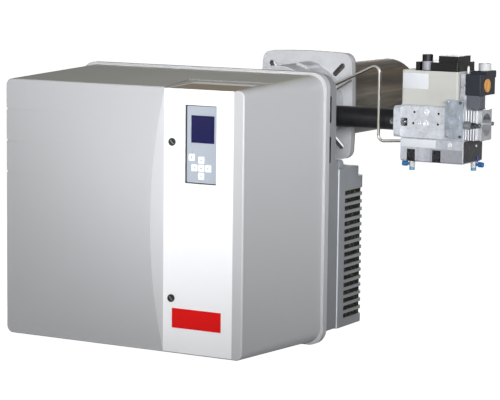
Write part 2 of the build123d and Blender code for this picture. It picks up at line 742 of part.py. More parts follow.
def motor_body():
    """The fan motor: ribbed frame, end caps and a flange on the scroll cover."""
    motor = disc_y(MOTOR_R, MOTOR_FRONT, MOTOR_BACK, FAN_X, FAN_Z)
    motor = motor + disc_y(MOTOR_FLANGE_R, MOTOR_BACK - MOTOR_FLANGE_THICK, MOTOR_BACK, FAN_X, FAN_Z)
    rib_y = (MOTOR_FRONT + 25, MOTOR_BACK - MOTOR_FLANGE_THICK)
    rib = block((MOTOR_R - 2, MOTOR_R + MOTOR_RIB_HIGH), rib_y, about(0, MOTOR_RIB_THICK / 2))
    ribs = [Pos(FAN_X, 0, FAN_Z) * Rot(0, 360 / MOTOR_RIBS * turn, 0) * rib for turn in range(MOTOR_RIBS)]
    return motor + ribs - disc_y(SHAFT_R + RUNNING, MOTOR_FRONT + 8, MOTOR_BACK, FAN_X, FAN_Z)


def motor_terminal_box():
    base = FAN_Z + MOTOR_R + MOTOR_RIB_HIGH
    box = block(about(FAN_X, 36), (MOTOR_FRONT + 50, MOTOR_FRONT + 130), (base, base + 38))
    return fillet(box.edges().filter_by(Axis.Z), 5)


def inlet_cone():
    """The bellmouth that leads air from the air box into the wheel's eye."""
    outline = Polyline(
        (INLET_R, BASE_BACK),
        (INLET_R, BASE_BACK - INLET_REACH),
        (INLET_R + INLET_WALL, BASE_BACK - INLET_REACH),
        (INLET_R + INLET_WALL, BASE_BACK),
        (INLET_LIP_R, BASE_BACK),
        (INLET_LIP_R, BASE_BACK + INLET_WALL),
        (INLET_R + INLET_WALL, BASE_BACK + INLET_WALL),
        close=True,
    )
    return Pos(FAN_X, 0, FAN_Z) * revolve(make_face(outline), Axis.Y)


def flap_duct():
    """The square duct of the air damper, with a round flange on the bellmouth."""
    front = BASE_BACK + INLET_WALL
    tube = Rectangle(2 * (DUCT_HALF_WIDTH + DUCT_WALL), 2 * (DUCT_HALF_HEIGHT + DUCT_WALL))
    duct = along_y(Circle(INLET_LIP_R), front, front + DUCT_WALL) + along_y(tube, front, DUCT_BACK)
    duct = duct - along_y(Rectangle(2 * DUCT_HALF_WIDTH, 2 * DUCT_HALF_HEIGHT), front, DUCT_BACK)
    duct = duct - disc_z(FLAP_SHAFT_R + RUNNING, -INLET_LIP_R, INLET_LIP_R, 0, FLAP_Y)
    return Pos(FAN_X, 0, FAN_Z) * duct


def air_flap():
    """The damper's blade on its upright shaft, closed at rest."""
    half_width = DUCT_HALF_WIDTH - FLAP_CLEARANCE
    half_height = DUCT_HALF_HEIGHT - FLAP_CLEARANCE
    blade = block(about(0, half_width), about(FLAP_Y, FLAP_THICK / 2), about(0, half_height))
    low = -(DUCT_HALF_HEIGHT + DUCT_WALL + 14)
    shaft = disc_z(FLAP_SHAFT_R, low, DUCT_HALF_HEIGHT + DUCT_WALL + 4, 0, FLAP_Y)
    return Pos(FAN_X, 0, FAN_Z) * (blade + shaft)


def flap_servomotor():
    """The servomotor under the duct, with the socket for the damper's shaft."""
    top = FAN_Z - DUCT_HALF_HEIGHT - DUCT_WALL
    case = block(about(FAN_X, SERVO_WIDTH / 2), about(FLAP_Y, SERVO_DEPTH / 2), (top - SERVO_HEIGHT, top))
    case = fillet(case.edges().filter_by(Axis.Z), 6)
    return case - disc_z(FLAP_SHAFT_R + RUNNING, top - 16, top, FAN_X, FLAP_Y)


# ---------------------------------------------------------------- electrical boxes under the hood
def burner_controller():
    """The control box on the display bracket's arm."""
    right = ARM_RIGHT - BRACKET_SHEET
    box = block((right - 62, right), (DISPLAY_FRONT + 60, DISPLAY_FRONT + 165), (ARM_Z[0] - 40, ARM_Z[1] + 20))
    return chamfer(box.faces().sort_by(Axis.X)[0].edges(), 4)


def ignition_transformer():
    box = block((-86, -46), (MOTOR_BACK - 90, MOTOR_BACK), (-134, -56))
    return fillet(box.edges().filter_by(Axis.Y), 5)


def air_pressure_switch():
    """The air pressure switch: a flat round housing with two hose stubs."""
    x, z = FAN_X - 100, FAN_Z + 96
    case = disc_y(36, MOTOR_BACK - 34, MOTOR_BACK, x, z)
    case = chamfer(case.faces().sort_by(Axis.Y)[0].edges(), 6)
    return case + disc_y(4, MOTOR_BACK - 46, MOTOR_BACK - 34, x + 14, z) + disc_y(4, MOTOR_BACK - 46, MOTOR_BACK - 34, x - 14, z)


# ---------------------------------------------------------------- neck, flange and combustion head
CLAMP_Y = NECK_BACK - 20
CLAMP_Z = -NECK_R - 6


def flange_outline():
    """A square with slightly crowned sides and rounded corners."""
    half_x = FLANGE_WIDTH / 2
    half_z = FLANGE_HEIGHT / 2
    corner_x = half_x - FLANGE_CROWN
    corner_z = half_z - FLANGE_CROWN
    corners = [(-corner_x, -corner_z), (corner_x, -corner_z), (corner_x, corner_z), (-corner_x, corner_z)]
    middles = [(0, -half_z), (half_x, 0), (0, half_z), (-half_x, 0)]
    sides = [ThreePointArc(corners[i], middles[i], corners[(i + 1) % 4]) for i in range(4)]
    face = make_face(sides)
    return fillet(face.vertices(), FLANGE_CORNER)


def stud_slots(start, end):
    """Cutters for the four radial stud slots."""
    slot = Pos(STUD_PCD_R, 0) * SlotOverall(STUD_SLOT_LENGTH, STUD_SLOT_WIDTH)
    return [Rot(0, 45 + 90 * turn, 0) * along_y(slot, start, end) for turn in range(4)]


def boiler_flange():
    plate = along_y(flange_outline(), NECK_BACK, NECK_BACK + FLANGE_THICK)
    plate = plate - disc_y(SPIGOT_R + STEM_CLEARANCE, NECK_BACK, NECK_BACK + FLANGE_THICK, 0, 0)
    return plate - stud_slots(NECK_BACK, NECK_BACK + FLANGE_THICK)


def flange_gasket():
    sheet = along_y(flange_outline(), -GASKET_THICK, 0)
    sheet = sheet - disc_y(TUBE_R + GASKET_GAP, -GASKET_THICK, 0, 0, 0)
    return sheet - stud_slots(-GASKET_THICK, 0)


def blast_tube():
    """The blast tube, with the spigot that the neck and the flange hold."""
    tube = disc_y(TUBE_R, 0, TUBE_LENGTH, 0, 0) + disc_y(SPIGOT_R, -SPIGOT_LENGTH, 0, 0, 0)
    return tube - disc_y(TUBE_R - TUBE_WALL, -SPIGOT_LENGTH, TUBE_LENGTH, 0, 0)


def neck_collar():
    """The cast neck between the base and the flange, with clamp lugs and the gas pipe's boss."""
    neck = disc_y(NECK_R, BASE_BACK, NECK_BACK, 0, 0)
    hump = block(about(0, LUG_WIDTH / 2), (CLAMP_Y - 50, CLAMP_Y + 6), (NECK_BORE_R, NECK_R + NECK_HUMP_HIGH))
    hump = fillet(hump.faces().sort_by(Axis.Z)[-1].edges(), 4)
    lugs = block(about(0, LUG_WIDTH / 2), about(CLAMP_Y, LUG_WIDTH / 2), (-NECK_R - LUG_HIGH, -NECK_R + 6))
    neck = neck + Rot(0, NECK_HUMP_TURN, 0) * hump + lugs + disc_x(BOSS_R, 0, BOSS_X, GAS_Y, GAS_Z)
    neck = neck - disc_y(NECK_BORE_R, BASE_BACK, NECK_BACK, 0, 0)
    slit = block(about(0, LUG_GAP / 2), (-SPIGOT_LENGTH, NECK_BACK), (-NECK_R - LUG_HIGH, 4 - NECK_BORE_R))
    return neck - slit - disc_x(PIPE_R, 0, BOSS_X, GAS_Y, GAS_Z) - disc_x(4, -LUG_WIDTH, LUG_WIDTH, CLAMP_Y, CLAMP_Z)


def neck_clamp_bolt():
    """The clamp bolt through the lugs, with a hexagon head and a nut."""
    half = LUG_WIDTH / 2
    bolt = disc_x(3.9, -half - 8, half + 6, CLAMP_Y, CLAMP_Z) + hexagon_x(7, half, half + 6, CLAMP_Y, CLAMP_Z)
    return bolt + hexagon_x(7, -half - 6, -half, CLAMP_Y, CLAMP_Z)


def gas_elbow():
    """The gas chamber in the neck: from the pipe's boss to the burner's axis."""
    reach = PIPE_START
    elbow = disc_x(PIPE_R, 0, reach, GAS_Y, GAS_Z) + disc_y(ELBOW_R, GAS_Y - ELBOW_R, GAS_Y + ELBOW_R, 0, 0)
    elbow = elbow - disc_x(PIPE_R - PIPE_WALL, 0, reach, GAS_Y, GAS_Z)
    return elbow - disc_y(LANCE_R + RUNNING, GAS_Y - ELBOW_R, GAS_Y + ELBOW_R, 0, 0)


def gas_lance():
    """The sliding gas lance: tube, conical nozzle head and the adjusting rod at its rear."""
    head = LANCE_HEAD_Y
    end = head + LANCE_HEAD_LENGTH
    outline = Polyline(
        (0, LANCE_BACK),
        (LANCE_R, LANCE_BACK),
        (LANCE_R, head),
        (LANCE_HEAD_R, head + 12),
        (LANCE_HEAD_R, end),
        (0, end),
        close=True,
    )
    lance = revolve(make_face(outline), Axis.Y) + disc_y(HEAD_ROD_R, HEAD_ROD_FRONT, LANCE_BACK, 0, 0)
    lance = lance + disc_y(DISC_BORE_R, end, end + DISC_THICK + 4, 0, 0)
    lance = lance - disc_y(LANCE_R - LANCE_WALL, LANCE_BACK + 4, end - 10, 0, 0)
    port = disc_x(8, 0, LANCE_R + 1, GAS_Y, 0)
    jets = [Rot(0, 45 * turn, 0) * disc_x(2.5, LANCE_R - LANCE_WALL - 2, LANCE_HEAD_R + 1, end - 15, 0) for turn in range(8)]
    return lance - port - jets


FLAME_DISC_Y = LANCE_HEAD_Y + LANCE_HEAD_LENGTH


def flame_disc():
    """The slotted disc that holds and swirls the flame."""
    disc = disc_y(DISC_R, FLAME_DISC_Y, FLAME_DISC_Y + DISC_THICK, 0, 0)
    disc = disc - disc_y(DISC_BORE_R, FLAME_DISC_Y, FLAME_DISC_Y + DISC_THICK, 0, 0)
    slot = Pos((DISC_R + DISC_BORE_R) / 2 + 6, 0) * SlotOverall(DISC_SLOT_LENGTH, DISC_SLOT_WIDTH, rotation=30)
    cut = along_y(slot, FLAME_DISC_Y, FLAME_DISC_Y + DISC_THICK)
    disc = disc - [Rot(0, 360 / DISC_SLOTS * turn + 22.5, 0) * cut for turn in range(DISC_SLOTS)]
    return disc - electrode_rods(ELECTRODE_CERAMIC_R + STEM_CLEARANCE, FLAME_DISC_Y, FLAME_DISC_Y + DISC_THICK)


def electrode_rods(radius, start, end):
    """Three round bars at the electrodes' places."""
    places = [(ELECTRODE_RADIUS * cos(radians(a)), ELECTRODE_RADIUS * sin(radians(a))) for a in ELECTRODE_ANGLES]
    return Part() + [disc_y(radius, start, end, x, z) for x, z in places]


def electrodes():
    """Two ignition electrodes and the ionisation probe, in ceramic sleeves."""
    sleeves = electrode_rods(ELECTRODE_CERAMIC_R, FLAME_DISC_Y - 80, FLAME_DISC_Y + 12)
    return sleeves + electrode_rods(ELECTRODE_R, FLAME_DISC_Y + 12, FLAME_DISC_Y + 30)


def head_adjuster_knob():
    """The knob that screws the gas lance in and out."""
    knob = disc_y(KNOB_R, MOTOR_BACK - KNOB_THICK, MOTOR_BACK, 0, 0)
    knob = chamfer(knob.faces().sort_by(Axis.Y)[0].edges(), 2)
    return knob - disc_y(HEAD_ROD_R + RUNNING, MOTOR_BACK - KNOB_THICK, MOTOR_BACK, 0, 0)


# ---------------------------------------------------------------- gas pipe and valve
OUTLET_LEFT = VALVE_LEFT - OUTLET_THICK


def gas_pipe():
    pipe = disc_x(PIPE_R, PIPE_START, OUTLET_LEFT + 10, GAS_Y, GAS_Z)
    return pipe - disc_x(PIPE_R - PIPE_WALL, PIPE_START, OUTLET_LEFT + 10, GAS_Y, GAS_Z)


def flange_plate(start, end, half_y, half_z):
    outline = Pos(GAS_Y, GAS_Z) * RectangleRounded(2 * half_y, 2 * half_z, 8)
    plate = along_x(outline, start, end)
    for side in (-1, 1):
        plate = plate - disc_x(FLANGE_BOLT_R, start, end, GAS_Y + side * FLANGE_BOLT_Y, GAS_Z)
    return plate


def outlet_flange():
    """The flange between the gas pipe and the valve's outlet."""
    plate = flange_plate(OUTLET_LEFT, VALVE_LEFT, OUTLET_HALF_Y, OUTLET_HALF_Z)
    plate = plate - disc_x(PIPE_R, OUTLET_LEFT, OUTLET_LEFT + 10, GAS_Y, GAS_Z)
    return plate - disc_x(PORT_R, OUTLET_LEFT, VALVE_LEFT, GAS_Y, GAS_Z)


def inlet_flange():
    """The threaded inlet flange: a bolted plate and a ribbed square hub."""
    plate_end = VALVE_RIGHT + INLET_PLATE
    ears = Pos(GAS_Y, GAS_Z) * RectangleRounded(2 * OUTLET_HALF_Y, 2 * INLET_EAR_HALF, INLET_EAR_HALF - 1)
    outline = Pos(GAS_Y, GAS_Z) * RectangleRounded(2 * INLET_HUB_HALF, 2 * OUTLET_HALF_Z, 3)
    core = Pos(GAS_Y, GAS_Z) * RectangleRounded(2 * (INLET_HUB_HALF - INLET_GROOVE), 2 * (OUTLET_HALF_Z - INLET_GROOVE), 2)
    flange = along_x(ears, VALVE_RIGHT, plate_end + 6) + along_x(core, VALVE_RIGHT, INLET_END)
    flange = flange + along_x(outline, VALVE_RIGHT, plate_end)
    middle = (plate_end + INLET_END) / 2
    for start in (middle - INLET_RIB, INLET_END - INLET_RIB):
        flange = flange + along_x(outline, start, start + INLET_RIB)
    for side in (-1, 1):
        flange = flange - disc_x(FLANGE_BOLT_R, VALVE_RIGHT, plate_end + 6, GAS_Y + side * FLANGE_BOLT_Y, GAS_Z)
    flange = flange - disc_x(PORT_R, VALVE_RIGHT, INLET_END, GAS_Y, GAS_Z)
    return flange - disc_x(INLET_BORE_R, INLET_END - INLET_BORE_LENGTH, INLET_END, GAS_Y, GAS_Z)


def flange_stud(side, start, end, nut_places):
    """A stud along X with a hexagon nut at each named place."""
    y = GAS_Y + side * FLANGE_BOLT_Y
    stud = chamfer(disc_x(FLANGE_BOLT_R, start, end, y, GAS_Z).edges(), 1)
    for place in nut_places:
        stud = stud + hexagon_x(FLANGE_NUT_R, place, place + NUT_HIGH, y, GAS_Z)
    return stud


def valve_flange_studs():
    """Two studs in the outlet flange and two in the inlet flange."""
    studs = Part()
    inlet_nut = VALVE_RIGHT + INLET_PLATE + 6
    for side in (-1, 1):
        studs = studs + flange_stud(
            side, OUTLET_LEFT - STUD_END, VALVE_LEFT + NUT_HIGH + 4, (OUTLET_LEFT - NUT_HIGH, VALVE_LEFT)
        )
        studs = studs + flange_stud(side, VALVE_RIGHT - 14, inlet_nut + NUT_HIGH + STUD_END, (inlet_nut,))
    return studs


def plunger_xs():
    middle = (VALVE_LEFT + COIL_RIGHT) / 2
    return middle - PLUNGER_SPACING / 2, middle + PLUNGER_SPACING / 2


def valve_body():
    """The double valve's cast body, with its flow bore and the two valve chambers."""
    body = block((VALVE_LEFT, VALVE_RIGHT), (VALVE_FRONT, VALVE_BACK), (REGULATOR_TOP, VALVE_TOP))
    body = chamfer(body.edges().filter_by(Axis.X), 3)
    body = body - disc_x(FLOW_R, VALVE_LEFT, VALVE_RIGHT, GAS_Y, GAS_Z)
    for x in plunger_xs():
        body = body - disc_z(PLUNGER_BORE_R, GAS_Z, VALVE_TOP, x, GAS_Y)
    for side in (-1, 1):
        y = GAS_Y + side * FLANGE_BOLT_Y
        pocket = block((VALVE_LEFT, VALVE_LEFT + 14), about(y, FLANGE_NUT_R + 1), about(GAS_Z, FLANGE_NUT_R + 1))
        body = body - pocket - disc_x(FLANGE_BOLT_R, VALVE_RIGHT - 14, VALVE_RIGHT, y, GAS_Z)
    return body


def valve_plunger(x):
    """A solenoid valve's disc, stem and iron core."""
    disc = disc_z(PLUNGER_R, GAS_Z + 6, GAS_Z + 11, x, GAS_Y)
    return disc + disc_z(CORE_R, GAS_Z + 11, COIL_TOP - 24, x, GAS_Y)


def coil_housing():
    """The housing over the two solenoid coils."""
    case = block((VALVE_LEFT + 1, COIL_RIGHT), (VALVE_FRONT, COIL_BACK), (VALVE_TOP, COIL_TOP))
    case = fillet(case.edges().filter_by(Axis.Z), 3)
    for x in plunger_xs():
        case = case - disc_z(CORE_R + RUNNING, VALVE_TOP, COIL_TOP - 24 + PLUNGER_LIFT + 2, x, GAS_Y)
    return case


def valve_top_connector():
    """The black connector base on the coil housing, its plug box and a screw cap."""
    base_top = COIL_TOP + CONNECTOR_BASE
    base = block((CONNECTOR_LEFT, COIL_RIGHT - 1), (VALVE_FRONT + 2, COIL_BACK - 2), (COIL_TOP, base_top))
    base = fillet(base.edges().filter_by(Axis.Z), 3)
    box_top = base_top + CONNECTOR_BOX_HIGH
    box = block((CONNECTOR_BOX_LEFT, COIL_RIGHT - 2), (VALVE_FRONT + 4, COIL_BACK - 22), (base_top, box_top))
    cap_y = VALVE_FRONT + 2 + CONNECTOR_CAP_R
    notch = block(about(CONNECTOR_CAP_X, CONNECTOR_CAP_R + 1), (VALVE_FRONT, cap_y), (COIL_TOP, base_top))
    cap = disc_z(CONNECTOR_CAP_R, COIL_TOP, COIL_TOP + CONNECTOR_CAP_HIGH, CONNECTOR_CAP_X, cap_y)
    return base - notch + box + chamfer(cap.edges().group_by(Axis.Z)[-1], 1.5)


PLATE_X = VALVE_RIGHT - 1 - PLATE_WIDTH / 2
PLATE_Z = -2


def cover_screw_places():
    half_x = PLATE_WIDTH / 2 - 5
    half_z = PLATE_HEIGHT / 2 - 5
    return [(PLATE_X + sx * half_x, PLATE_Z + sz * half_z) for sx in (-1, 1) for sz in (-1, 1)]


def front_cover_plate():
    """The square cover on the valve's front, with a raised ring."""
    outline = Pos(PLATE_X, PLATE_Z) * RectangleRounded(PLATE_WIDTH, PLATE_HEIGHT, 3)
    plate = along_y(outline, VALVE_FRONT - PLATE_THICK, VALVE_FRONT)
    ring = Pos(PLATE_X, PLATE_Z) * (Circle(PLATE_RING_R) - Circle(PLATE_RING_R - 4))
    plate = plate + along_y(ring, VALVE_FRONT - PLATE_THICK - 2.5, VALVE_FRONT - PLATE_THICK)
    for x, z in cover_screw_places():
        plate = plate - disc_y(1.6, VALVE_FRONT - PLATE_THICK, VALVE_FRONT, x, z)
    return plate


def valve_fasteners():
    """The two flanges' studs with their nuts, and the four screws of the front cover."""
    screws = valve_flange_studs()
    for x, z in cover_screw_places():
        head = disc_y(COVER_SCREW_R, VALVE_FRONT - PLATE_THICK - 1.8, VALVE_FRONT - PLATE_THICK, x, z)
        screws = screws + head + disc_y(1.5, VALVE_FRONT - PLATE_THICK, VALVE_FRONT, x, z)
    return screws


def regulator_block():
    """The gas and air ratio regulator under the valve, with two adjuster windows."""
    body = block((VALVE_LEFT, VALVE_RIGHT), (VALVE_FRONT, VALVE_BACK), (REGULATOR_BOTTOM, REGULATOR_TOP))
    body = chamfer(body.faces().sort_by(Axis.Z)[0].edges(), 3)
    for x in WINDOW_XS:
        recess = (VALVE_FRONT, VALVE_FRONT + ADJUSTER_RECESS)
        body = body - block(about(x, WINDOW_HALF), recess, (REGULATOR_BOTTOM, WINDOW_TOP))
        body = body - disc_y(ADJUSTER_R + RUNNING, VALVE_FRONT, VALVE_FRONT + ADJUSTER_LENGTH, x, ADJUSTER_Z)
    return body


def ratio_adjuster(x):
    """A ratio setting screw with a hexagon socket."""
    screw = disc_y(ADJUSTER_R, VALVE_FRONT + 2, VALVE_FRONT + ADJUSTER_LENGTH, x, ADJUSTER_Z)
    socket = along_y(Pos(x, ADJUSTER_Z) * RegularPolygon(3, 6), VALVE_FRONT + 2, VALVE_FRONT + 8)
    return screw - socket


FITTING_PLACES = ((294, VALVE_FRONT + 12), (400, -62))
COLLAR_TOP = REGULATOR_BOTTOM - FITTING_HIGH
PLUG_Z = REGULATOR_BOTTOM - FITTING_HIGH / 2


def test_fittings():
    """The two pressure test fittings under the regulator: body and release collar."""
    fittings = Part()
    for x, y in FITTING_PLACES:
        body = disc_z(FITTING_R, COLLAR_TOP, REGULATOR_BOTTOM, x, y)
        fittings = fittings + body + disc_z(FITTING_R - 0.5, COLLAR_TOP - COLLAR_HIGH, COLLAR_TOP, x, y)
    return fittings


def test_plug(x, y, side):
    """A round-headed plug in the side of a test fitting, pointing one way along X."""
    neck_end = x + side * (FITTING_R + PLUG_NECK_LONG)
    head_end = neck_end + side * PLUG_HEAD_LONG
    neck = disc_x(PLUG_NECK_R, min(x, neck_end), max(x, neck_end), y, PLUG_Z)
    head = disc_x(PLUG_HEAD_R, min(neck_end, head_end), max(neck_end, head_end), y, PLUG_Z)
    return neck + fillet(head.edges(), 1.5) - disc_z(FITTING_R, COLLAR_TOP, REGULATOR_BOTTOM, x, y)


def test_plugs():
    """The blue plugs in the sides of the test fittings."""
    return test_plug(*FITTING_PLACES[0], -1) + test_plug(*FITTING_PLACES[1], 1)


def switch_adaptor():
    """The block and the upright plate that join the pressure switch to the valve's side."""
    y_limits = (SWITCH_FRONT + 1, ADAPTOR_BACK)
    body = block((VALVE_RIGHT, SWITCH_RIGHT - 3), y_limits, (18, SWITCH_BOTTOM))
    body = chamfer(body.edges().filter_by(Axis.Y), 1.5)
    foot = block((BRACKET_LEFT, VALVE_RIGHT + 2), y_limits, (VALVE_TOP, SWITCH_BOTTOM))
    return body + foot + block((BRACKET_LEFT, SWITCH_LEFT), (SWITCH_FRONT, -60), (VALVE_TOP, SWITCH_TOP + 1))


def gas_pressure_switch():
    """The gas pressure switch, with a raised lid and a seat for its setting dial."""
    case = block((SWITCH_LEFT, SWITCH_RIGHT), (SWITCH_FRONT, SWITCH_BACK), (SWITCH_BOTTOM, SWITCH_TOP))
    case = fillet(case.edges().filter_by(Axis.Z), 3)
    lid = block((SWITCH_LEFT, SWITCH_RIGHT + 1), (LID_FRONT, SWITCH_BACK), (SWITCH_TOP - 8, SWITCH_TOP + LID_HIGH))
    case = case + chamfer(lid.faces().sort_by(Axis.Z)[-1].edges(), 1.5)
    return case - disc_x(DIAL_R + 0.3, SWITCH_RIGHT - 2, SWITCH_RIGHT, DIAL_Y, DIAL_Z)


def switch_dial():
    """The pressure switch's setting dial, with a screwdriver slot."""
    start = SWITCH_RIGHT - 2
    dial = disc_x(DIAL_R, start, start + DIAL_THICK, DIAL_Y, DIAL_Z)
    slot = block((start + DIAL_THICK - 1.5, start + DIAL_THICK), about(DIAL_Y, 1), about(DIAL_Z, DIAL_R * 0.7))
    return dial - slot


def switch_plug():
    """The round cable connector on top of the pressure switch."""
    base = SWITCH_TOP + LID_HIGH
    plug = disc_z(SWITCH_PLUG_R, base, base + SWITCH_PLUG_HIGH, SWITCH_RIGHT - SWITCH_PLUG_R - 1, -75)
    return chamfer(plug.edges().group_by(Axis.Z)[-1], 1)


def bent_tube(points, bend, radius):
    """A steel tube along straight runs joined by round bends."""
    path = FilletPolyline(*points, radius=bend)
    start = path @ 0
    return sweep(Plane(start, z_dir=path % 0) * Circle(radius), path)


def impulse_tubes():
    """The gas pressure tube to the regulator and the stouter furnace tube to the flange."""
    front = GAS_Y - 30
    start_x, start_z = 112, 48.6
    corner_x, corner_z = 221, 99.9
    points = [(start_x, BASE_BACK, start_z), (start_x, front, start_z), (corner_x, front, corner_z)]
    points = points + [(corner_x, front, -54.6), (VALVE_LEFT + 1, front, -51)]
    furnace = Line((120.5, BASE_BACK - 5, 40), (100, NECK_BACK + 5, 56))
    stout = sweep(Plane(furnace @ 0, z_dir=furnace % 0) * Circle(FURNACE_TUBE_R), furnace)
    room = block((0, VALVE_LEFT), (BASE_BACK, NECK_BACK), (REGULATOR_BOTTOM, HOOD_HEIGHT))
    return (bent_tube(points, 12, IMPULSE_R) & room) + (stout & room)


PARTS = {
    "hood_shell": hood_shell,
    "fascia": fascia,
    "badge_plate": badge_plate,
    "display_module": display_module,
    "display_screen": display_screen,
    "front_supports": front_supports,
    "base_housing": base_housing,
    "air_box": air_box,
    "air_inlet_mesh": air_inlet_mesh,
    "fan_scroll": fan_scroll,
    "scroll_cover": scroll_cover,
    "fan_wheel": fan_wheel,
    "motor_shaft": motor_shaft,
    "motor_body": motor_body,
    "motor_terminal_box": motor_terminal_box,
    "inlet_cone": inlet_cone,
    "flap_duct": flap_duct,
    "air_flap": air_flap,
    "flap_servomotor": flap_servomotor,
    "burner_controller": burner_controller,
    "ignition_transformer": ignition_transformer,
    "air_pressure_switch": air_pressure_switch,
    "boiler_flange": boiler_flange,
    "flange_gasket": flange_gasket,
    "blast_tube": blast_tube,
    "neck_collar": neck_collar,
    "neck_clamp_bolt": neck_clamp_bolt,
    "gas_elbow": gas_elbow,
    "gas_lance": gas_lance,
    "flame_disc": flame_disc,
    "electrodes": electrodes,
    "head_adjuster_knob": head_adjuster_knob,
    "gas_pipe": gas_pipe,
    "outlet_flange": outlet_flange,
    "inlet_flange": inlet_flange,
    "valve_body": valve_body,
    "coil_housing": coil_housing,
    "valve_top_connector": valve_top_connector,
    "front_cover_plate": front_cover_plate,
    "valve_fasteners": valve_fasteners,
    "regulator_block": regulator_block,
    "test_fittings": test_fittings,
    "test_plugs": test_plugs,
    "switch_adaptor": switch_adaptor,
    "gas_pressure_switch": gas_pressure_switch,
    "switch_dial": switch_dial,
    "switch_plug": switch_plug,
    "impulse_tubes": impulse_tubes,
}


def placed_parts():
    """Pieces of one form at several places."""
    shapes = {
        "fastener_upper": hood_fastener(FASTENER_UPPER_Z),
        "fastener_lower": hood_fastener(FASTENER_UPPER_Z - FASTENER_SPACING),
    }
    for name, (x, z) in key_places().items():
        shapes[name] = key_solid(x, z)
    for number, x in enumerate(plunger_xs(), 1):
        shapes[f"valve_plunger_{number}"] = valve_plunger(x)
    for number, x in enumerate(WINDOW_XS, 1):
        shapes[f"ratio_adjuster_{number}"] = ratio_adjuster(x)
    return shapes


def main():
    os.makedirs("parts", exist_ok=True)
    shapes = {name: make() for name, make in PARTS.items()}
    shapes.update(placed_parts())
    for name, shape in shapes.items():
        export_step(shape, f"parts/{name}.step")
    print(len(shapes), "pieces")


main()
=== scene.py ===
"""Studio scene of a forced-draught gas burner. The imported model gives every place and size; this script adds
the materials, the fine detail, the floor, the lights and the camera. Lengths are metres, and +Y points into the
boiler."""
import json
import math

import bmesh
import bpy
from mathutils import Matrix, Vector


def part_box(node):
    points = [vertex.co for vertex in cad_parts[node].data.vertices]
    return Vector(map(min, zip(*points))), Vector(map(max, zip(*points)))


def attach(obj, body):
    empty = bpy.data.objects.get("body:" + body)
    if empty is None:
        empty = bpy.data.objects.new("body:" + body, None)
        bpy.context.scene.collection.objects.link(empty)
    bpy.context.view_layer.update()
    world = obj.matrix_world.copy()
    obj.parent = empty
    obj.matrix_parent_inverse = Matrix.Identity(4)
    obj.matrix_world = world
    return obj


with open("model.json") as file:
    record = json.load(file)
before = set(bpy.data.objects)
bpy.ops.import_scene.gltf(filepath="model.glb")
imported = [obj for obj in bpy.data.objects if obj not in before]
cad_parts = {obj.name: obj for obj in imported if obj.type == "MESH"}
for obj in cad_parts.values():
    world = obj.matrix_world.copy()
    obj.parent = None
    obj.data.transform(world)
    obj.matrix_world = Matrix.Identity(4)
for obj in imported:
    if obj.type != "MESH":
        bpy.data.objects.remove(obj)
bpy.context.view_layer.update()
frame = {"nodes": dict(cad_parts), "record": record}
NODES = frame["nodes"]
MM = 0.001
SKIN = 0.0002  # how far a sticker stands proud
SEAM_Z, SEAM_HALF = 0.017, 0.0018  # the blast tube's seam
RUBBED_TOP, RUBBED_BOTTOM, RUBBED_END = 0.024, 0.062, 0.17  # the rubbed zone, under the seam and along the tube
TOP_SLOPE = 13 / 294  # draft of the hood's top
POCKET_DEPTH = 0.8 * MM  # the pocket's floor, under the fascia's top edge
POCKET_SLACK = 0.7 * MM  # how far from that level a face still counts as floor
POCKET_REFLECTION_END = 0.09  # where the floor's painted brown reflection ends, from the front
POCKET_HIGHLIGHT_END = 0.118  # where the painted white highlight behind it ends
POCKET_EDGE = 0.006  # width of the painted highlight along the left side
POCKET_TAPER = 0.13  # how fast the painted floor narrows towards the back
POCKET_SIDES = -0.034, 0.004  # the walls with painted shade, from the fascia's left and right ends
POCKET_ENDS = 0.006, 0.142  # from its front
POCKET_BOTTOM = 0.004  # and below its top
SEAL_WIDTH = 0.0029  # how much wider than the display its black seal is
SEAL_BACK, SEAL_INNER, SEAL_OUTER = -6 * MM, 1.6 * MM, 1.9 * MM  # how far its edges stand out of the display's front
HUB_RIBS = 4
RIB_RISE = 0.0022
RIB_STEPS = 48
UP = (0, 0, 1)
OPEN = 1.0  # a side of a box that is left open
HOOD_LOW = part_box("hood_shell")[0]
FASCIA_LOW, FASCIA_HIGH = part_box("fascia")
DISPLAY_LOW, DISPLAY_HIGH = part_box("display_module")
BASE_LOW, BASE_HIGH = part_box("base_housing")
AIR_LOW, AIR_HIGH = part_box("air_box")
VALVE_LOW, VALVE_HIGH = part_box("valve_body")
COIL_LOW, COIL_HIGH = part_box("coil_housing")
REG_LOW, REG_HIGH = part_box("regulator_block")
CONNECTOR_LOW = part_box("valve_top_connector")[0]
SWITCH_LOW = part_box("gas_pressure_switch")[0]
ADAPTOR_LOW, ADAPTOR_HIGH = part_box("switch_adaptor")
INLET_LOW, INLET_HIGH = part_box("inlet_flange")
FITTING_LOW, FITTING_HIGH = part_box("test_fittings")


def middle(node):
    low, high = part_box(node)
    return (low + high) / 2


# ------------------------------------------------------------------ materials
def srgb(red, green, blue):
    """A linear colour from the 0 to 255 values that it shows as."""

    def channel(value):
        value /= 255
        return value / 12.92 if value <= 0.04045 else ((value + 0.055) / 1.055) ** 2.4

    return channel(red), channel(green), channel(blue), 1.0


def shade(color, factor):
    return tuple(min(1.0, channel * factor) for channel in color[:3]) + (1.0,)


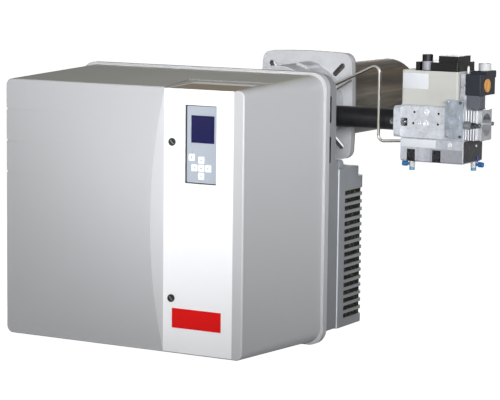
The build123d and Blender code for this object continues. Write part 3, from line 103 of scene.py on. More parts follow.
class Nodes:
    """A short way to add and link the nodes of one material."""

    def __init__(self, name):
        self.material = bpy.data.materials.new(name)
        self.material.use_nodes = True
        self.tree = self.material.node_tree
        self.shader = self.tree.nodes["Principled BSDF"]
        self.place = self.add("ShaderNodeTexCoord").outputs["Object"]
        self.edge = None

    def add(self, kind, **settings):
        node = self.tree.nodes.new(kind)
        for key, value in settings.items():
            setattr(node, key, value)
        return node

    def link(self, source, target):
        self.tree.links.new(source, target)

    def paint(self, source):
        self.link(source, self.shader.inputs["Base Color"])

    def fixed(self, **values):
        for key, value in values.items():
            self.shader.inputs[key.replace("_", " ")].default_value = value

    def stretched(self, scale, shift=(0, 0, 0)):
        mapping = self.add("ShaderNodeMapping")
        mapping.inputs["Scale"].default_value = scale
        mapping.inputs["Location"].default_value = shift
        self.link(self.place, mapping.inputs["Vector"])
        return mapping.outputs["Vector"]

    def noise(self, scale, detail=3.0, stretch=None):
        node = self.add("ShaderNodeTexNoise")
        node.inputs["Scale"].default_value = scale
        node.inputs["Detail"].default_value = detail
        self.link(self.stretched(stretch) if stretch else self.place, node.inputs["Vector"])
        return node.outputs["Fac"]

    def math(self, operation, first, second=None):
        node = self.add("ShaderNodeMath", operation=operation)
        for socket, value in zip(node.inputs, (first, second)):
            if isinstance(value, (int, float)):
                socket.default_value = value
            elif value is not None:
                self.link(value, socket)
        return node.outputs[0]

    def ramp(self, source, stops):
        node = self.add("ShaderNodeValToRGB")
        elements = node.color_ramp.elements
        while len(elements) < len(stops):
            elements.new(0.5)
        for element, (position, color) in zip(elements, stops):
            element.position = position
            element.color = color
        self.link(source, node.inputs["Fac"])
        return node.outputs["Color"]

    def spread(self, source, low, high, start=0.3, end=0.7):
        node = self.add("ShaderNodeMapRange")
        node.inputs["From Min"].default_value = start
        node.inputs["From Max"].default_value = end
        node.inputs["To Min"].default_value = low
        node.inputs["To Max"].default_value = high
        self.link(source, node.inputs["Value"])
        return node.outputs["Result"]

    def mix(self, factor, first, second):
        """Colour first where factor is 0 and second where it is 1."""
        node = self.add("ShaderNodeMix", data_type="RGBA")
        for socket, value in ((node.inputs[0], factor), (node.inputs[6], first), (node.inputs[7], second)):
            if isinstance(value, (tuple, float)):
                socket.default_value = value
            else:
                self.link(value, socket)
        return node.outputs[2]

    def inside(self, low, high, soft=0.0):
        """1 within a box in the object's own space, 0 outside it, with an edge that fades over soft metres."""
        centre = [(a + b) / 2 for a, b in zip(low, high)]
        half = [max(abs(b - a) / 2, 1e-5) for a, b in zip(low, high)]
        scale = [1 / h for h in half]
        local = self.stretched(scale, [-c * s for c, s in zip(centre, scale)])
        size = self.add("ShaderNodeVectorMath", operation="ABSOLUTE")
        self.link(local, size.inputs[0])
        split = self.add("ShaderNodeSeparateXYZ")
        self.link(size.outputs[0], split.inputs[0])
        largest = self.math("MAXIMUM", self.math("MAXIMUM", split.outputs[0], split.outputs[1]), split.outputs[2])
        if soft:
            return self.spread(largest, 1.0, 0.0, 1 - soft / min(half), 1.0)
        return self.math("LESS_THAN", largest, 1.0)

    def facing(self, direction, start, end):
        """0 to 1 as the surface turns towards a direction."""
        dot = self.add("ShaderNodeVectorMath", operation="DOT_PRODUCT")
        dot.inputs[1].default_value = Vector(direction).normalized()
        self.link(self.add("ShaderNodeNewGeometry").outputs["Normal"], dot.inputs[0])
        return self.spread(dot.outputs["Value"], 0.0, 1.0, start, end)

    def upright(self):
        """1 on faces that run along Y, 0 on faces that look along it."""
        split = self.add("ShaderNodeSeparateXYZ")
        self.link(self.add("ShaderNodeNewGeometry").outputs["Normal"], split.inputs[0])
        return self.math("LESS_THAN", self.math("ABSOLUTE", split.outputs[1]), 0.4)

    def broken_edges(self, radius):
        """Normals as if every edge had a small radius, and a mask that is 1 on those edges."""
        bevel = self.add("ShaderNodeBevel", samples=4)
        bevel.inputs["Radius"].default_value = radius
        self.edge = bevel.outputs["Normal"]
        dot = self.add("ShaderNodeVectorMath", operation="DOT_PRODUCT")
        self.link(self.edge, dot.inputs[0])
        self.link(self.add("ShaderNodeNewGeometry").outputs["Normal"], dot.inputs[1])
        return self.spread(dot.outputs["Value"], 1.0, 0.0, 0.8, 0.985)

    def bump(self, source, height):
        node = self.add("ShaderNodeBump")
        node.inputs["Distance"].default_value = height
        node.inputs["Strength"].default_value = 1.0
        self.link(source, node.inputs["Height"])
        if self.edge:
            self.link(self.edge, node.inputs["Normal"])
        self.link(node.outputs["Normal"], self.shader.inputs["Normal"])


def finish(name, color, rough, metal=0.0, mottle=0.06, mottle_scale=14, grain=0.02, grain_scale=900,
           stretch=None, specular=0.5, edge=0.5, wear_and_highlight=0.0, dirt=0.0, patches=(), walls=None, shade_side=None):
    """A material with slow colour changes, uneven gloss, a fine grain and broken edges that are painted lighter,
    partly as wear and partly as a painted highlight. A patch is a box with its own colour, as (low corner, high
    corner, colour), for a part of the piece that has another finish, or for painted shade or a painted highlight;
    walls is one that paints shade only on the faces that run along Y, such as the sides of a slot in a plate; the
    last argument is a direction and a colour of painted shade, for the faces that look that way."""
    nodes = Nodes(name)
    edge_mask = nodes.broken_edges(edge * MM) if edge else None
    slow = nodes.noise(mottle_scale, 4.0, stretch)
    tone = nodes.ramp(slow, [(0.3, shade(color, 1 - mottle)), (0.7, shade(color, 1 + mottle))])
    for low, high, patch in patches:
        tone = nodes.mix(nodes.inside(low, high), tone, patch)
    # painted shade on the faces that run along Y, such as the walls of slots
    if walls:
        tone = nodes.mix(nodes.math("MULTIPLY", nodes.inside(*walls[:2]), nodes.upright()), tone, walls[2])
    # painted shade on the faces that look along the given direction
    if shade_side:
        tone = nodes.mix(nodes.facing(shade_side[0], -0.15, 0.55), tone, shade_side[1])
    if dirt:
        spots = nodes.spread(nodes.noise(mottle_scale * 3.1, 6.0), 0.0, dirt, 0.5, 0.66)
        tone = nodes.mix(spots, tone, shade(color, 0.35))
    # edges painted lighter, partly as wear and partly as a painted highlight
    if wear_and_highlight and edge_mask:
        tone = nodes.mix(nodes.math("MULTIPLY", edge_mask, wear_and_highlight), tone, shade(color, 1.9))
    nodes.paint(tone)
    nodes.link(nodes.spread(slow, rough * 0.86, min(1.0, rough * 1.14)), nodes.shader.inputs["Roughness"])
    nodes.fixed(Metallic=metal, Specular_IOR_Level=specular)
    nodes.bump(nodes.noise(grain_scale, 2.0, stretch), grain * MM)
    return nodes.material


def tinted_steel(name):
    """Heat-tinted steel sheet: dark brown and grey bands, pale scuffs and a seam that run along the tube, and a
    rubbed grey zone under the seam."""
    nodes = Nodes(name)
    nodes.broken_edges(0.4 * MM)
    bands = nodes.noise(17, 3.0, (1.0, 0.12, 1.0))
    streaks = nodes.noise(44, 6.0, (1.0, 0.07, 1.0))
    brown = nodes.ramp(streaks, [(0.34, srgb(62, 56, 48)), (0.5, srgb(92, 80, 64)), (0.66, srgb(122, 106, 84))])
    grey = nodes.ramp(streaks, [(0.34, srgb(66, 65, 62)), (0.5, srgb(98, 96, 91)), (0.66, srgb(134, 129, 120))])
    tone = nodes.mix(nodes.spread(bands, 0.0, 1.0, 0.42, 0.58), brown, grey)
    scuffs = nodes.spread(nodes.noise(78, 5.0, (1.0, 0.04, 1.0)), 0.0, 0.7, 0.58, 0.72)
    tone = nodes.mix(scuffs, tone, srgb(170, 156, 136))
    rubbed = nodes.inside((0.0, -OPEN, SEAM_Z - RUBBED_BOTTOM), (OPEN, RUBBED_END, SEAM_Z - RUBBED_TOP), 0.012)
    rubs = nodes.spread(nodes.noise(60, 5.0, (1.0, 0.3, 1.0)), 0.0, 0.75, 0.42, 0.62)
    tone = nodes.mix(nodes.math("MULTIPLY", rubbed, rubs), tone, srgb(158, 154, 144))
    seam = nodes.inside((0.0, -OPEN, SEAM_Z - SEAM_HALF), (OPEN, OPEN, SEAM_Z + SEAM_HALF), 0.0012)
    tone = nodes.mix(nodes.math("MULTIPLY", seam, 0.8), tone, srgb(196, 166, 132))
    nodes.paint(tone)
    nodes.link(nodes.spread(streaks, 0.36, 0.5), nodes.shader.inputs["Roughness"])
    nodes.fixed(Metallic=0.6)
    nodes.bump(nodes.noise(300, 2.0, (1.0, 0.05, 1.0)), 0.08 * MM)
    return nodes.material


def filter_fleece(name):
    """Dark filter fleece with a few brown fibres that catch the light."""
    nodes = Nodes(name)
    weave = nodes.noise(260, 4.0)
    clumps = nodes.spread(nodes.noise(150, 5.0), 0.0, 1.0, 0.52, 0.72)
    tone = nodes.ramp(weave, [(0.35, srgb(14, 15, 16)), (0.7, srgb(42, 42, 38))])
    nodes.paint(nodes.mix(clumps, tone, srgb(104, 96, 66)))
    nodes.fixed(Roughness=0.95, Specular_IOR_Level=0.2)
    nodes.bump(weave, 0.8 * MM)
    return nodes.material


def pocket_wall_shade(nodes, tone):
    """The steep walls of the pocket in the hood's top are painted a darker grey, as painted shade."""
    low = (FASCIA_LOW.x + POCKET_SIDES[0], FASCIA_LOW.y + POCKET_ENDS[0], FASCIA_HIGH.z - POCKET_BOTTOM)
    high = (FASCIA_HIGH.x + POCKET_SIDES[1], FASCIA_LOW.y + POCKET_ENDS[1], OPEN)
    steep = nodes.math("SUBTRACT", 1.0, nodes.facing(UP, 0.5, 0.9))
    return nodes.mix(nodes.math("MULTIPLY", nodes.inside(low, high), steep), tone, srgb(138, 138, 134))


def pocket_floor(nodes, tone):
    """The pocket's floor slopes with the hood's top. It is painted brown in front as a painted reflection, with a
    white painted highlight at the left and behind.
    """
    split = nodes.add("ShaderNodeSeparateXYZ")
    nodes.link(nodes.place, split.inputs[0])
    x, y, z = split.outputs
    across = nodes.math("SUBTRACT", x, FASCIA_LOW.x)
    along = nodes.math("SUBTRACT", y, FASCIA_LOW.y)
    rise = nodes.math("MULTIPLY", along, TOP_SLOPE)
    height = nodes.math("SUBTRACT", nodes.math("SUBTRACT", z, FASCIA_HIGH.z - POCKET_DEPTH), rise)
    on_floor = nodes.math("LESS_THAN", nodes.math("ABSOLUTE", height), POCKET_SLACK)
    width = nodes.math("SUBTRACT", FASCIA_HIGH.x - FASCIA_LOW.x, nodes.math("MULTIPLY", along, POCKET_TAPER))
    on_floor = nodes.math("MULTIPLY", on_floor, nodes.math("LESS_THAN", across, width))
    # painted light on the floor: a white painted highlight, and over its front part a brown painted reflection
    for start, end, painted_tone in (
        (0.0, POCKET_HIGHLIGHT_END, srgb(255, 255, 255)),
        (POCKET_EDGE, POCKET_REFLECTION_END, srgb(172, 154, 130)),
    ):
        area = nodes.math("MULTIPLY", nodes.math("GREATER_THAN", across, start), nodes.math("LESS_THAN", along, end))
        tone = nodes.mix(nodes.math("MULTIPLY", on_floor, area), tone, painted_tone)
    return tone


def hood_paint(name, color):
    """Fine metallic grey paint; the faces that look up are painted a little warmer, as a painted reflection."""
    nodes = Nodes(name)
    slow = nodes.noise(5, 4.0)
    tone = nodes.ramp(slow, [(0.3, shade(color, 0.988)), (0.7, shade(color, 1.012))])
    # painted reflection: the faces that look up turn a little warmer
    tone = nodes.mix(nodes.facing(UP, 0.8, 0.95), tone, srgb(192, 191, 183))
    nodes.paint(pocket_floor(nodes, pocket_wall_shade(nodes, tone)))
    nodes.link(nodes.spread(slow, 0.42, 0.5), nodes.shader.inputs["Roughness"])
    nodes.fixed(Metallic=0.1, Specular_IOR_Level=0.2)
    nodes.bump(nodes.noise(1500, 2.0), 0.02 * MM)
    return nodes.material


def cast_metal(name, color, rough=0.46, metal=0.55, brushed=None, **more):
    """Die-cast or milled aluminium: blotchy, with pits, milling marks and bright edges, painted lighter partly as
    wear and partly as a painted highlight.
    """
    options = {"mottle": 0.12, "mottle_scale": 46, "grain": 0.14, "grain_scale": 520, "wear_and_highlight": 0.45, "dirt": 0.25}
    options.update(more)
    return finish(name, color, rough, metal, stretch=brushed, **options)


# Measures of the patches that finish takes.
PAST = 0.001  # how far a patch reaches past a surface
RECESS = 0.0004  # how far behind a face a patch inside a recess starts
EDGE_WIDTH, EDGE_DEPTH, EDGE_END = 0.0021, 0.0026, 0.017  # the painted highlights on the air box's corners end below its top
GRIP_FRONT, GRIP_BACK = 0.0078, 0.0174  # the hand grips, from the base's front
GRIP_INSET, GRIP_REACH = 0.0003, 0.02  # and from its side
GRIP_HEIGHTS, GRIP_HALF = (0.0072, -0.0735), 0.0272  # their middles and half their height
WINDOW_HALF, WINDOW_DEPTH, WINDOW_HIGH = 0.0096, 0.03, 0.0256
BEVEL = 0.0012  # the regulator's right corner
BORE = 0.0228
NUT_HALF, NUT_DEEP = 0.0085, 0.03


def edge_highlight_patch(start, end):
    """A painted highlight on the front corner of the air box, between two x values."""
    return (start, AIR_LOW.y - PAST, -OPEN), (end, AIR_LOW.y + EDGE_DEPTH, AIR_HIGH.z - EDGE_END), srgb(206, 210, 216)


def grip_shade_patch(start, end, height):
    """Painted shade on the inside of one hand grip, between two x values."""
    low = (start, BASE_LOW.y + GRIP_FRONT, height - GRIP_HALF)
    return low, (end, BASE_LOW.y + GRIP_BACK, height + GRIP_HALF), srgb(24, 24, 27)


def window_shade_patch(node):
    """Painted shade inside the regulator's window over one adjuster."""
    x = middle(node).x
    low = (x - WINDOW_HALF, REG_LOW.y + RECESS, REG_LOW.z - PAST)
    return low, (x + WINDOW_HALF, REG_LOW.y + WINDOW_DEPTH, REG_LOW.z + WINDOW_HIGH), srgb(30, 30, 34)


def bore_patch(low, high, color):
    """The wall of the inlet's bore, between two heights over its axis."""
    start = (VALVE_HIGH.x - PAST, AXIS.y - BORE, AXIS.z + low)
    return start, (INLET_HIGH.x - RECESS, AXIS.y + BORE, AXIS.z + high), color


AXIS = middle("gas_pipe")
AIR_EDGE_HIGHLIGHTS = [edge_highlight_patch(AIR_HIGH.x - EDGE_WIDTH, OPEN), edge_highlight_patch(-OPEN, AIR_LOW.x + EDGE_WIDTH)]
GRIP_SHADE_PATCHES = [
    grip_shade_patch(start, end, height)
    for start, end in (
        (BASE_HIGH.x - GRIP_REACH, BASE_HIGH.x - GRIP_INSET),
        (BASE_LOW.x + GRIP_INSET, BASE_LOW.x + GRIP_REACH),
    )
    for height in GRIP_HEIGHTS
]
REGULATOR_PATCHES = [
    (  # the dull lower part of the front
        (middle("ratio_adjuster_2").x - 0.014, REG_LOW.y - PAST, REG_LOW.z - PAST),
        (REG_HIGH.x - BEVEL, REG_LOW.y + PAST, REG_HIGH.z - 0.0175),
        srgb(166, 169, 176),
    ),
    # painted shade inside the two windows
    window_shade_patch("ratio_adjuster_1"),
    window_shade_patch("ratio_adjuster_2"),
    # the dark right end, and the bright bevel beside it
    ((REG_HIGH.x - 0.0006, -OPEN, -OPEN), (REG_HIGH.x + PAST, OPEN, OPEN), srgb(66, 66, 70)),
    (
        (REG_HIGH.x - BEVEL, REG_LOW.y - PAST, -OPEN),
        (REG_HIGH.x + PAST, REG_LOW.y + 0.0016, OPEN),
        srgb(226, 228, 232),
    ),
]
# painted shade inside the pocket around the valve's left nut
NUT_POCKET_SHADE = (
    (VALVE_LOW.x - PAST, VALVE_LOW.y + RECESS, AXIS.z - NUT_HALF),
    (VALVE_LOW.x + 0.0145, VALVE_LOW.y + NUT_DEEP, AXIS.z + NUT_HALF),
    srgb(40, 40, 44),
)
ADAPTOR_BLOCK = (
    (ADAPTOR_LOW.x + 0.0132, -OPEN, -OPEN),
    (OPEN, OPEN, SWITCH_LOW.z + RECESS),
    srgb(104, 108, 117),
)
FITTING_COLLAR = (
    (-OPEN, -OPEN, FITTING_LOW.z - PAST),
    (OPEN, OPEN, FITTING_LOW.z + 0.0062),
    srgb(132, 184, 214),
)
INLET_PATCHES = [
    (  # the flange's ear
        (VALVE_HIGH.x - PAST, -OPEN, -OPEN),
        (INLET_HIGH.x - 0.009, VALVE_LOW.y + 0.0013, OPEN),
        srgb(150, 154, 160),
    ),
    # the bore, with its reflections as streaks
    bore_patch(-BORE, BORE, srgb(212, 214, 220)),
    bore_patch(0.008, BORE, srgb(150, 152, 160)),
    bore_patch(-0.0015, 0.0012, srgb(252, 252, 255)),
    bore_patch(-BORE, -0.012, srgb(196, 198, 204)),
]
INLET_NUTS = ((VALVE_HIGH.x - 0.02, -OPEN, -OPEN), (OPEN, OPEN, OPEN), srgb(112, 116, 121))
CAP_LOWER = (
    (CONNECTOR_LOW.x + 0.0125, -OPEN, CONNECTOR_LOW.z + 0.0015),
    (CONNECTOR_LOW.x + 0.0325, middle("valve_top_connector").y, CONNECTOR_LOW.z + 0.0185),
    srgb(150, 153, 160),
)

# After the colour: roughness, metal, mottle and its scale, grain in mm and its scale.
SLOT_FINISHES = {
    "hood_grey": hood_paint("hood_grey", srgb(192, 193, 196)),
    "panel_white": finish("panel_white", srgb(243, 244, 247), 0.34, 0, 0.008, 4, 0.006, 900, specular=0.35),
    "badge_red": finish("badge_red", srgb(222, 16, 16), 0.42, 0, 0.03, 30, 0.008, 700, specular=0.2),
    "black_plastic": finish("black_plastic", srgb(27, 27, 30), 0.36, 0, 0.12, 30, 0.04, 700, specular=0.4, wear_and_highlight=0.25),
    "base_grey": finish("base_grey", srgb(136, 139, 143), 0.48, 0, 0.06, 30, 0.05, 1200, specular=0.4, wear_and_highlight=0.3,
                        patches=GRIP_SHADE_PATCHES),
    "air_box_grey": finish("air_box_grey", srgb(142, 146, 151), 0.48, 0, 0.06, 26, 0.06, 1100, specular=0.4,
                           wear_and_highlight=0.3, patches=AIR_EDGE_HIGHLIGHTS),
    "filter_brown": filter_fleece("filter_brown"),
    "cast_aluminium": cast_metal("cast_aluminium", srgb(196, 198, 202), 0.5, 0.35, grain=0.2, grain_scale=420,
                                 dirt=0.12),
    "machined_aluminium": cast_metal("machined_aluminium", srgb(192, 196, 203)),
    "sheet_steel": finish("sheet_steel", srgb(172, 175, 180), 0.34, 0.85, 0.06, 40, 0.05, 900, wear_and_highlight=0.3),
    "tube_steel": tinted_steel("tube_steel"),
    "bolt_steel": finish("bolt_steel", srgb(196, 195, 190), 0.24, 0.92, 0.08, 120, 0.03, 1500, edge=0.3, wear_and_highlight=0.3),
    "pipe_black": finish("pipe_black", srgb(25, 25, 28), 0.42, 0, 0.2, 26, 0.14, 380, specular=0.5),
    "motor_paint": finish("motor_paint", srgb(62, 66, 70), 0.45, 0, 0.08, 30, 0.1, 500, wear_and_highlight=0.2),
    "gasket_white": finish("gasket_white", srgb(176, 175, 170), 0.92, 0, 0.08, 60, 0.3, 500),
    "bezel_grey": finish("bezel_grey", srgb(168, 176, 186), 0.42, 0, 0.015, 20, 0.015, 900, specular=0.3),
    "screen_blue": finish("screen_blue", srgb(20, 20, 70), 0.22, 0, 0.05, 30, 0.004, 600, specular=0.12),
    "key_white": finish("key_white", srgb(238, 241, 246), 0.4, 0, 0.015, 40, 0.01, 900, specular=0.3),
    "coil_beige": finish("coil_beige", srgb(194, 195, 191), 0.5, 0, 0.03, 26, 0.08, 700, specular=0.35, wear_and_highlight=0.35),
    "plug_grey": finish("plug_grey", srgb(210, 211, 213), 0.4, 0, 0.04, 60, 0.04, 800, wear_and_highlight=0.15),
    "dial_orange": finish("dial_orange", srgb(230, 170, 92), 0.4, 0, 0.1, 90, 0.05, 500, specular=0.3),
    "plug_blue": finish("plug_blue", srgb(36, 104, 164), 0.26, 0, 0.12, 160, 0.02, 900),
    "fan_steel": finish("fan_steel", srgb(188, 190, 193), 0.34, 0.9, 0.06, 40, 0.04),
    "ceramic": finish("ceramic", srgb(230, 226, 214), 0.3, 0, 0.04, 90),
}
FLANGE_LOW, FLANGE_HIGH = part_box("boiler_flange")
# the walls of the slots in the flange and its gasket get this darker grey as painted shade
FLANGE_SLOTS = (
    (FLANGE_LOW.x + 0.012, FLANGE_LOW.y - PAST, FLANGE_LOW.z + 0.0135),
    (FLANGE_HIGH.x - 0.012, FLANGE_HIGH.y + PAST, FLANGE_HIGH.z - 0.0135),
    srgb(98, 98, 100),
)
GASKET_SLOTS = (
    (FLANGE_SLOTS[0][0], -0.005, FLANGE_SLOTS[0][2]),
    (FLANGE_SLOTS[1][0], PAST, FLANGE_SLOTS[1][2]),
    FLANGE_SLOTS[2],
)
NODE_FINISHES = {
    "boiler_flange": cast_metal("flange_cast", srgb(200, 202, 206), 0.5, 0.25, grain=0.12, mottle=0.05, dirt=0.06,
                                walls=FLANGE_SLOTS),
    "flange_gasket": finish("gasket_grey", srgb(150, 149, 146), 0.92, 0, 0.08, 60, 0.3, 500, walls=GASKET_SLOTS),
    "valve_body": cast_metal("valve_cast", srgb(214, 218, 225), 0.44, 0.3, patches=[NUT_POCKET_SHADE]),
    "regulator_block": cast_metal("regulator_cast", srgb(198, 201, 210), 0.42, 0.3, brushed=(1, 1, 0.07), mottle=0.16,
                                  patches=REGULATOR_PATCHES),
    "front_cover_plate": cast_metal("cover_cast", srgb(172, 180, 191), 0.36, 0.45, mottle=0.26, mottle_scale=70),
    "inlet_flange": cast_metal("inlet_milled", srgb(216, 219, 223), 0.24, 0.6, brushed=(1, 1, 0.05), mottle=0.16,
                               dirt=0.1, patches=INLET_PATCHES),
    "outlet_flange": cast_metal("outlet_milled", srgb(208, 213, 221), 0.4, 0.35, brushed=(1, 1, 0.1)),
    "switch_adaptor": cast_metal("bracket_steel", srgb(190, 193, 200), 0.3, 0.45, mottle=0.3, mottle_scale=60,
                                 dirt=0.0, patches=[ADAPTOR_BLOCK]),
    "test_fittings": finish("fitting_nickel", srgb(226, 229, 232), 0.2, 0.55, 0.1, 160, 0.02, 900, wear_and_highlight=0.3,
                            patches=[FITTING_COLLAR]),
    "valve_fasteners": finish("valve_bolts", srgb(182, 184, 186), 0.26, 0.92, 0.25, 150, 0.02, 900, edge=0.3,
                              wear_and_highlight=0.4, patches=[INLET_NUTS]),
    # the stainless tubes are painted dark on the faces that look right and down, as painted shade
    "impulse_tubes": finish("tube_stainless", srgb(216, 214, 208), 0.34, 0.7, 0.03, 90, 0.01, 900, edge=0,
                            shade_side=((0.55, 0.0, -0.83), srgb(52, 50, 46))),
    "ratio_adjuster_1": finish("adjuster_steel", srgb(70, 72, 76), 0.3, 0.8, 0.15, 200, 0.03, 900, edge=0.3,
                               wear_and_highlight=0.8),
    "valve_top_connector": finish("connector_plastic", srgb(19, 19, 21), 0.34, 0, 0.1, 40, 0.03, 700, specular=0.35,
                                  wear_and_highlight=0.4, patches=[CAP_LOWER]),
    "gas_pressure_switch": finish("switch_plastic", srgb(40, 43, 52), 0.36, 0, 0.1, 60, 0.04, 700, specular=0.35,
                                  wear_and_highlight=0.35),
}
NODE_FINISHES["ratio_adjuster_2"] = NODE_FINISHES["ratio_adjuster_1"]


def dress_nodes():
    """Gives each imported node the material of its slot, or one of its own where the real piece differs."""
    for part in frame["record"]["subparts"]:
        name = part["node"]
        data = NODES[name].data
        data.materials.clear()
        data.materials.append(NODE_FINISHES.get(name) or SLOT_FINISHES[part["material_slot"]])


dress_nodes()


# ------------------------------------------------------------------ fine detail
SHARP_ANGLE = 32
SIDES = {  # right, up and out as seen from each side
    "front": (Vector((1, 0, 0)), Vector((0, 0, 1)), Vector((0, -1, 0))),
    "right": (Vector((0, 1, 0)), Vector((0, 0, 1)), Vector((1, 0, 0))),
    "top": (Vector((1, 0, 0)), Vector((0, 1, 0)), Vector((0, 0, 1))),
}


def piece(name, shape, material, body):
    """Turns a bmesh into a piece that rides on a body."""
    bmesh.ops.remove_doubles(shape, verts=shape.verts, dist=1e-6)
    bmesh.ops.recalc_face_normals(shape, faces=shape.faces)
    mesh = bpy.data.meshes.new(name)
    shape.to_mesh(mesh)
    shape.free()
    mesh.shade_smooth()
    mesh.set_sharp_from_angle(angle=math.radians(SHARP_ANGLE))
    thing = bpy.data.objects.new(name, mesh)
    bpy.context.scene.collection.objects.link(thing)
    mesh.materials.append(material)
    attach(thing, body)
    return thing


def skin(shape, rows):
    """Joins each closed ring of vertices to the next one."""
    count = len(rows[0])
    for lower, upper in zip(rows, rows[1:]):
        for i in range(count):
            j = (i + 1) % count
            shape.faces.new((lower[i], lower[j], upper[j], upper[i]))


def stack(shape, rings):
    """Skins a list of closed rings of equal length, and closes both ends."""
    rows = [[shape.verts.new(point) for point in loop] for loop in rings]
    skin(shape, rows)
    shape.faces.new(rows[0][::-1])
    shape.faces.new(rows[-1])


def front_of(node):
    """The middle of a node's front face."""
    centre = middle(node)
    return centre.x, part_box(node)[0].y, centre.z


def spin(outline, turn):
    """Turns a flat outline about its own middle."""
    c, s = math.cos(turn), math.sin(turn)
    return [(x * c - y * s, x * s + y * c) for x, y in outline]


def ring(place, side, outline, height):
    right, up, out = SIDES[side]
    return [Vector(place) + right * u + up * v + out * height for u, v in outline]


def circle(radius, steps=32):
    turns = [2 * math.pi * i / steps for i in range(steps)]
    return [(radius * math.cos(turn), radius * math.sin(turn)) for turn in turns]


def hexagon(radius, steps=36):
    """A hexagon with as many points as a circle, so that the two can be skinned together."""
    points = []
    for i in range(steps):
        angle = 2 * math.pi * i / steps
        inner = (angle % (math.pi / 3)) - math.pi / 6
        reach = radius * math.cos(math.pi / 6) / math.cos(inner)
        points.append((reach * math.cos(angle), reach * math.sin(angle)))
    return points


def rounded(width, height, corner, steps=4):
    points = []
    for sx, sy, start in ((1, 1, 0), (-1, 1, 90), (-1, -1, 180), (1, -1, 270)):
        for i in range(steps + 1):
            angle = math.radians(start + 90 * i / steps)
            x = sx * (width / 2 - corner) + corner * math.cos(angle)
            y = sy * (height / 2 - corner) + corner * math.sin(angle)
            points.append((x, y))
    return points


def lathe(shape, place, side, profile, steps=32):
    """A turned form from (radius, height above the surface) pairs."""
    stack(shape, [ring(place, side, circle(max(radius, 1e-5), steps), height) for radius, height in profile])


def label(name, place, width, height):
    """A thin bare sticker on a front face, with rounded corners and a soft edge. Width and height are in mm."""
    shape = bmesh.new()
    low = rounded(width * MM, height * MM, 1.0 * MM)
    top = rounded((width - 0.3) * MM, (height - 0.3) * MM, 0.9 * MM)
    rings = [ring(place, "front", outline, out) for outline, out in ((low, 0.0), (low, SKIN / 2), (top, SKIN))]
    stack(shape, rings)
    piece(name, shape, PAPER, "burner")


def socket_screws(name, places, side, radius, height, material, body):
    """Cap screws with a chamfered head and a hexagon socket. Radius and height are in mm."""
    shape = bmesh.new()
    for place in places:
        outer = circle(radius * MM, 36)
        rim = circle((radius - 0.4) * MM, 36)
        socket = hexagon(radius * 0.52 * MM)
        floor_hex = hexagon(radius * 0.48 * MM)
        stack(shape, [
            ring(place, side, outer, 0.0),
            ring(place, side, outer, (height - 0.4) * MM),
            ring(place, side, rim, height * MM),
            ring(place, side, socket, height * MM),
            ring(place, side, floor_hex, height * 0.25 * MM),
        ])
    piece(name, shape, material, body)


def turned(name, places, side, profile, material, body, steps=32):
    """One turned form at each place, from a profile in mm."""
    shape = bmesh.new()
    for place in places:
        lathe(shape, place, side, [(r * MM, h * MM) for r, h in profile], steps)
    piece(name, shape, material, body)


def prism(shape, place, side, outline, high):
    stack(shape, [ring(place, side, outline, 0.0), ring(place, side, outline, high)])


PAPER = finish("sticker_paper", srgb(220, 224, 229), 0.5, 0, 0.02, 60, 0.01, 900, specular=0.3, edge=0)
INK = finish("key_ink", srgb(160, 160, 166), 0.5, 0, 0.05, 200, 0.005, 900, specular=0.2, edge=0)
HOLE_BLACK = finish("hole_black", srgb(26, 26, 28), 0.6, 0, 0.1, 300, 0.02, 900, specular=0.2, edge=0)
BRIGHT_STEEL = finish("bright_screw", srgb(244, 247, 250), 0.22, 0.35, 0.08, 240, 0.02, 900, edge=0.2, wear_and_highlight=0.3)
# the ribs' metal is lighter than the hub's, partly its own colour and partly a painted highlight; the grooves are
# darker as painted shade
RIB_BRIGHT = cast_metal("rib_bright", srgb(236, 238, 242), 0.24, 0.4, brushed=(1, 1, 0.05), dirt=0.05)
RIB_GROOVE_SHADE = cast_metal("rib_groove_shade", srgb(84, 88, 96), 0.3, 0.5, brushed=(1, 1, 0.05), dirt=0.1)
FASTENER_GREY = finish("fastener_insert", srgb(124, 126, 130), 0.4, 0.2, 0.1, 200, 0.02, 900, edge=0)
PEG_WHITE = finish("peg_white", srgb(236, 238, 238), 0.4, 0, 0.03, 90, 0.02, 900)
PIN_BLUE = finish("pin_blue", srgb(34, 66, 150), 0.35, 0, 0.08, 200, 0.02, 900)


def valve_labels():
    """Bare white stickers on the coil and on the regulator, where the real valve carries its data."""
    coil_front = (COIL_LOW.x + 0.0292, COIL_LOW.y, COIL_HIGH.z - 0.0208)
    label("coil_label", coil_front, 55, 30)
    reg_front = (REG_LOW.x + 0.0385, REG_LOW.y, REG_HIGH.z - 0.0083)
    label("regulator_label", reg_front, 75, 15.6)


# In mm, to the right of and below the upper left corner of the valve's front.
TAPPED_HOLES = ((29, 14), (81, 15), (27, 36), (80, 36))
PLUGS = ((54.5, 13.5), (53, 35))
BREATHER = (40, 35)


def on_valve(spots):
    return [(VALVE_LOW.x + across * MM, VALVE_LOW.y, VALVE_HIGH.z - down * MM) for across, down in spots]


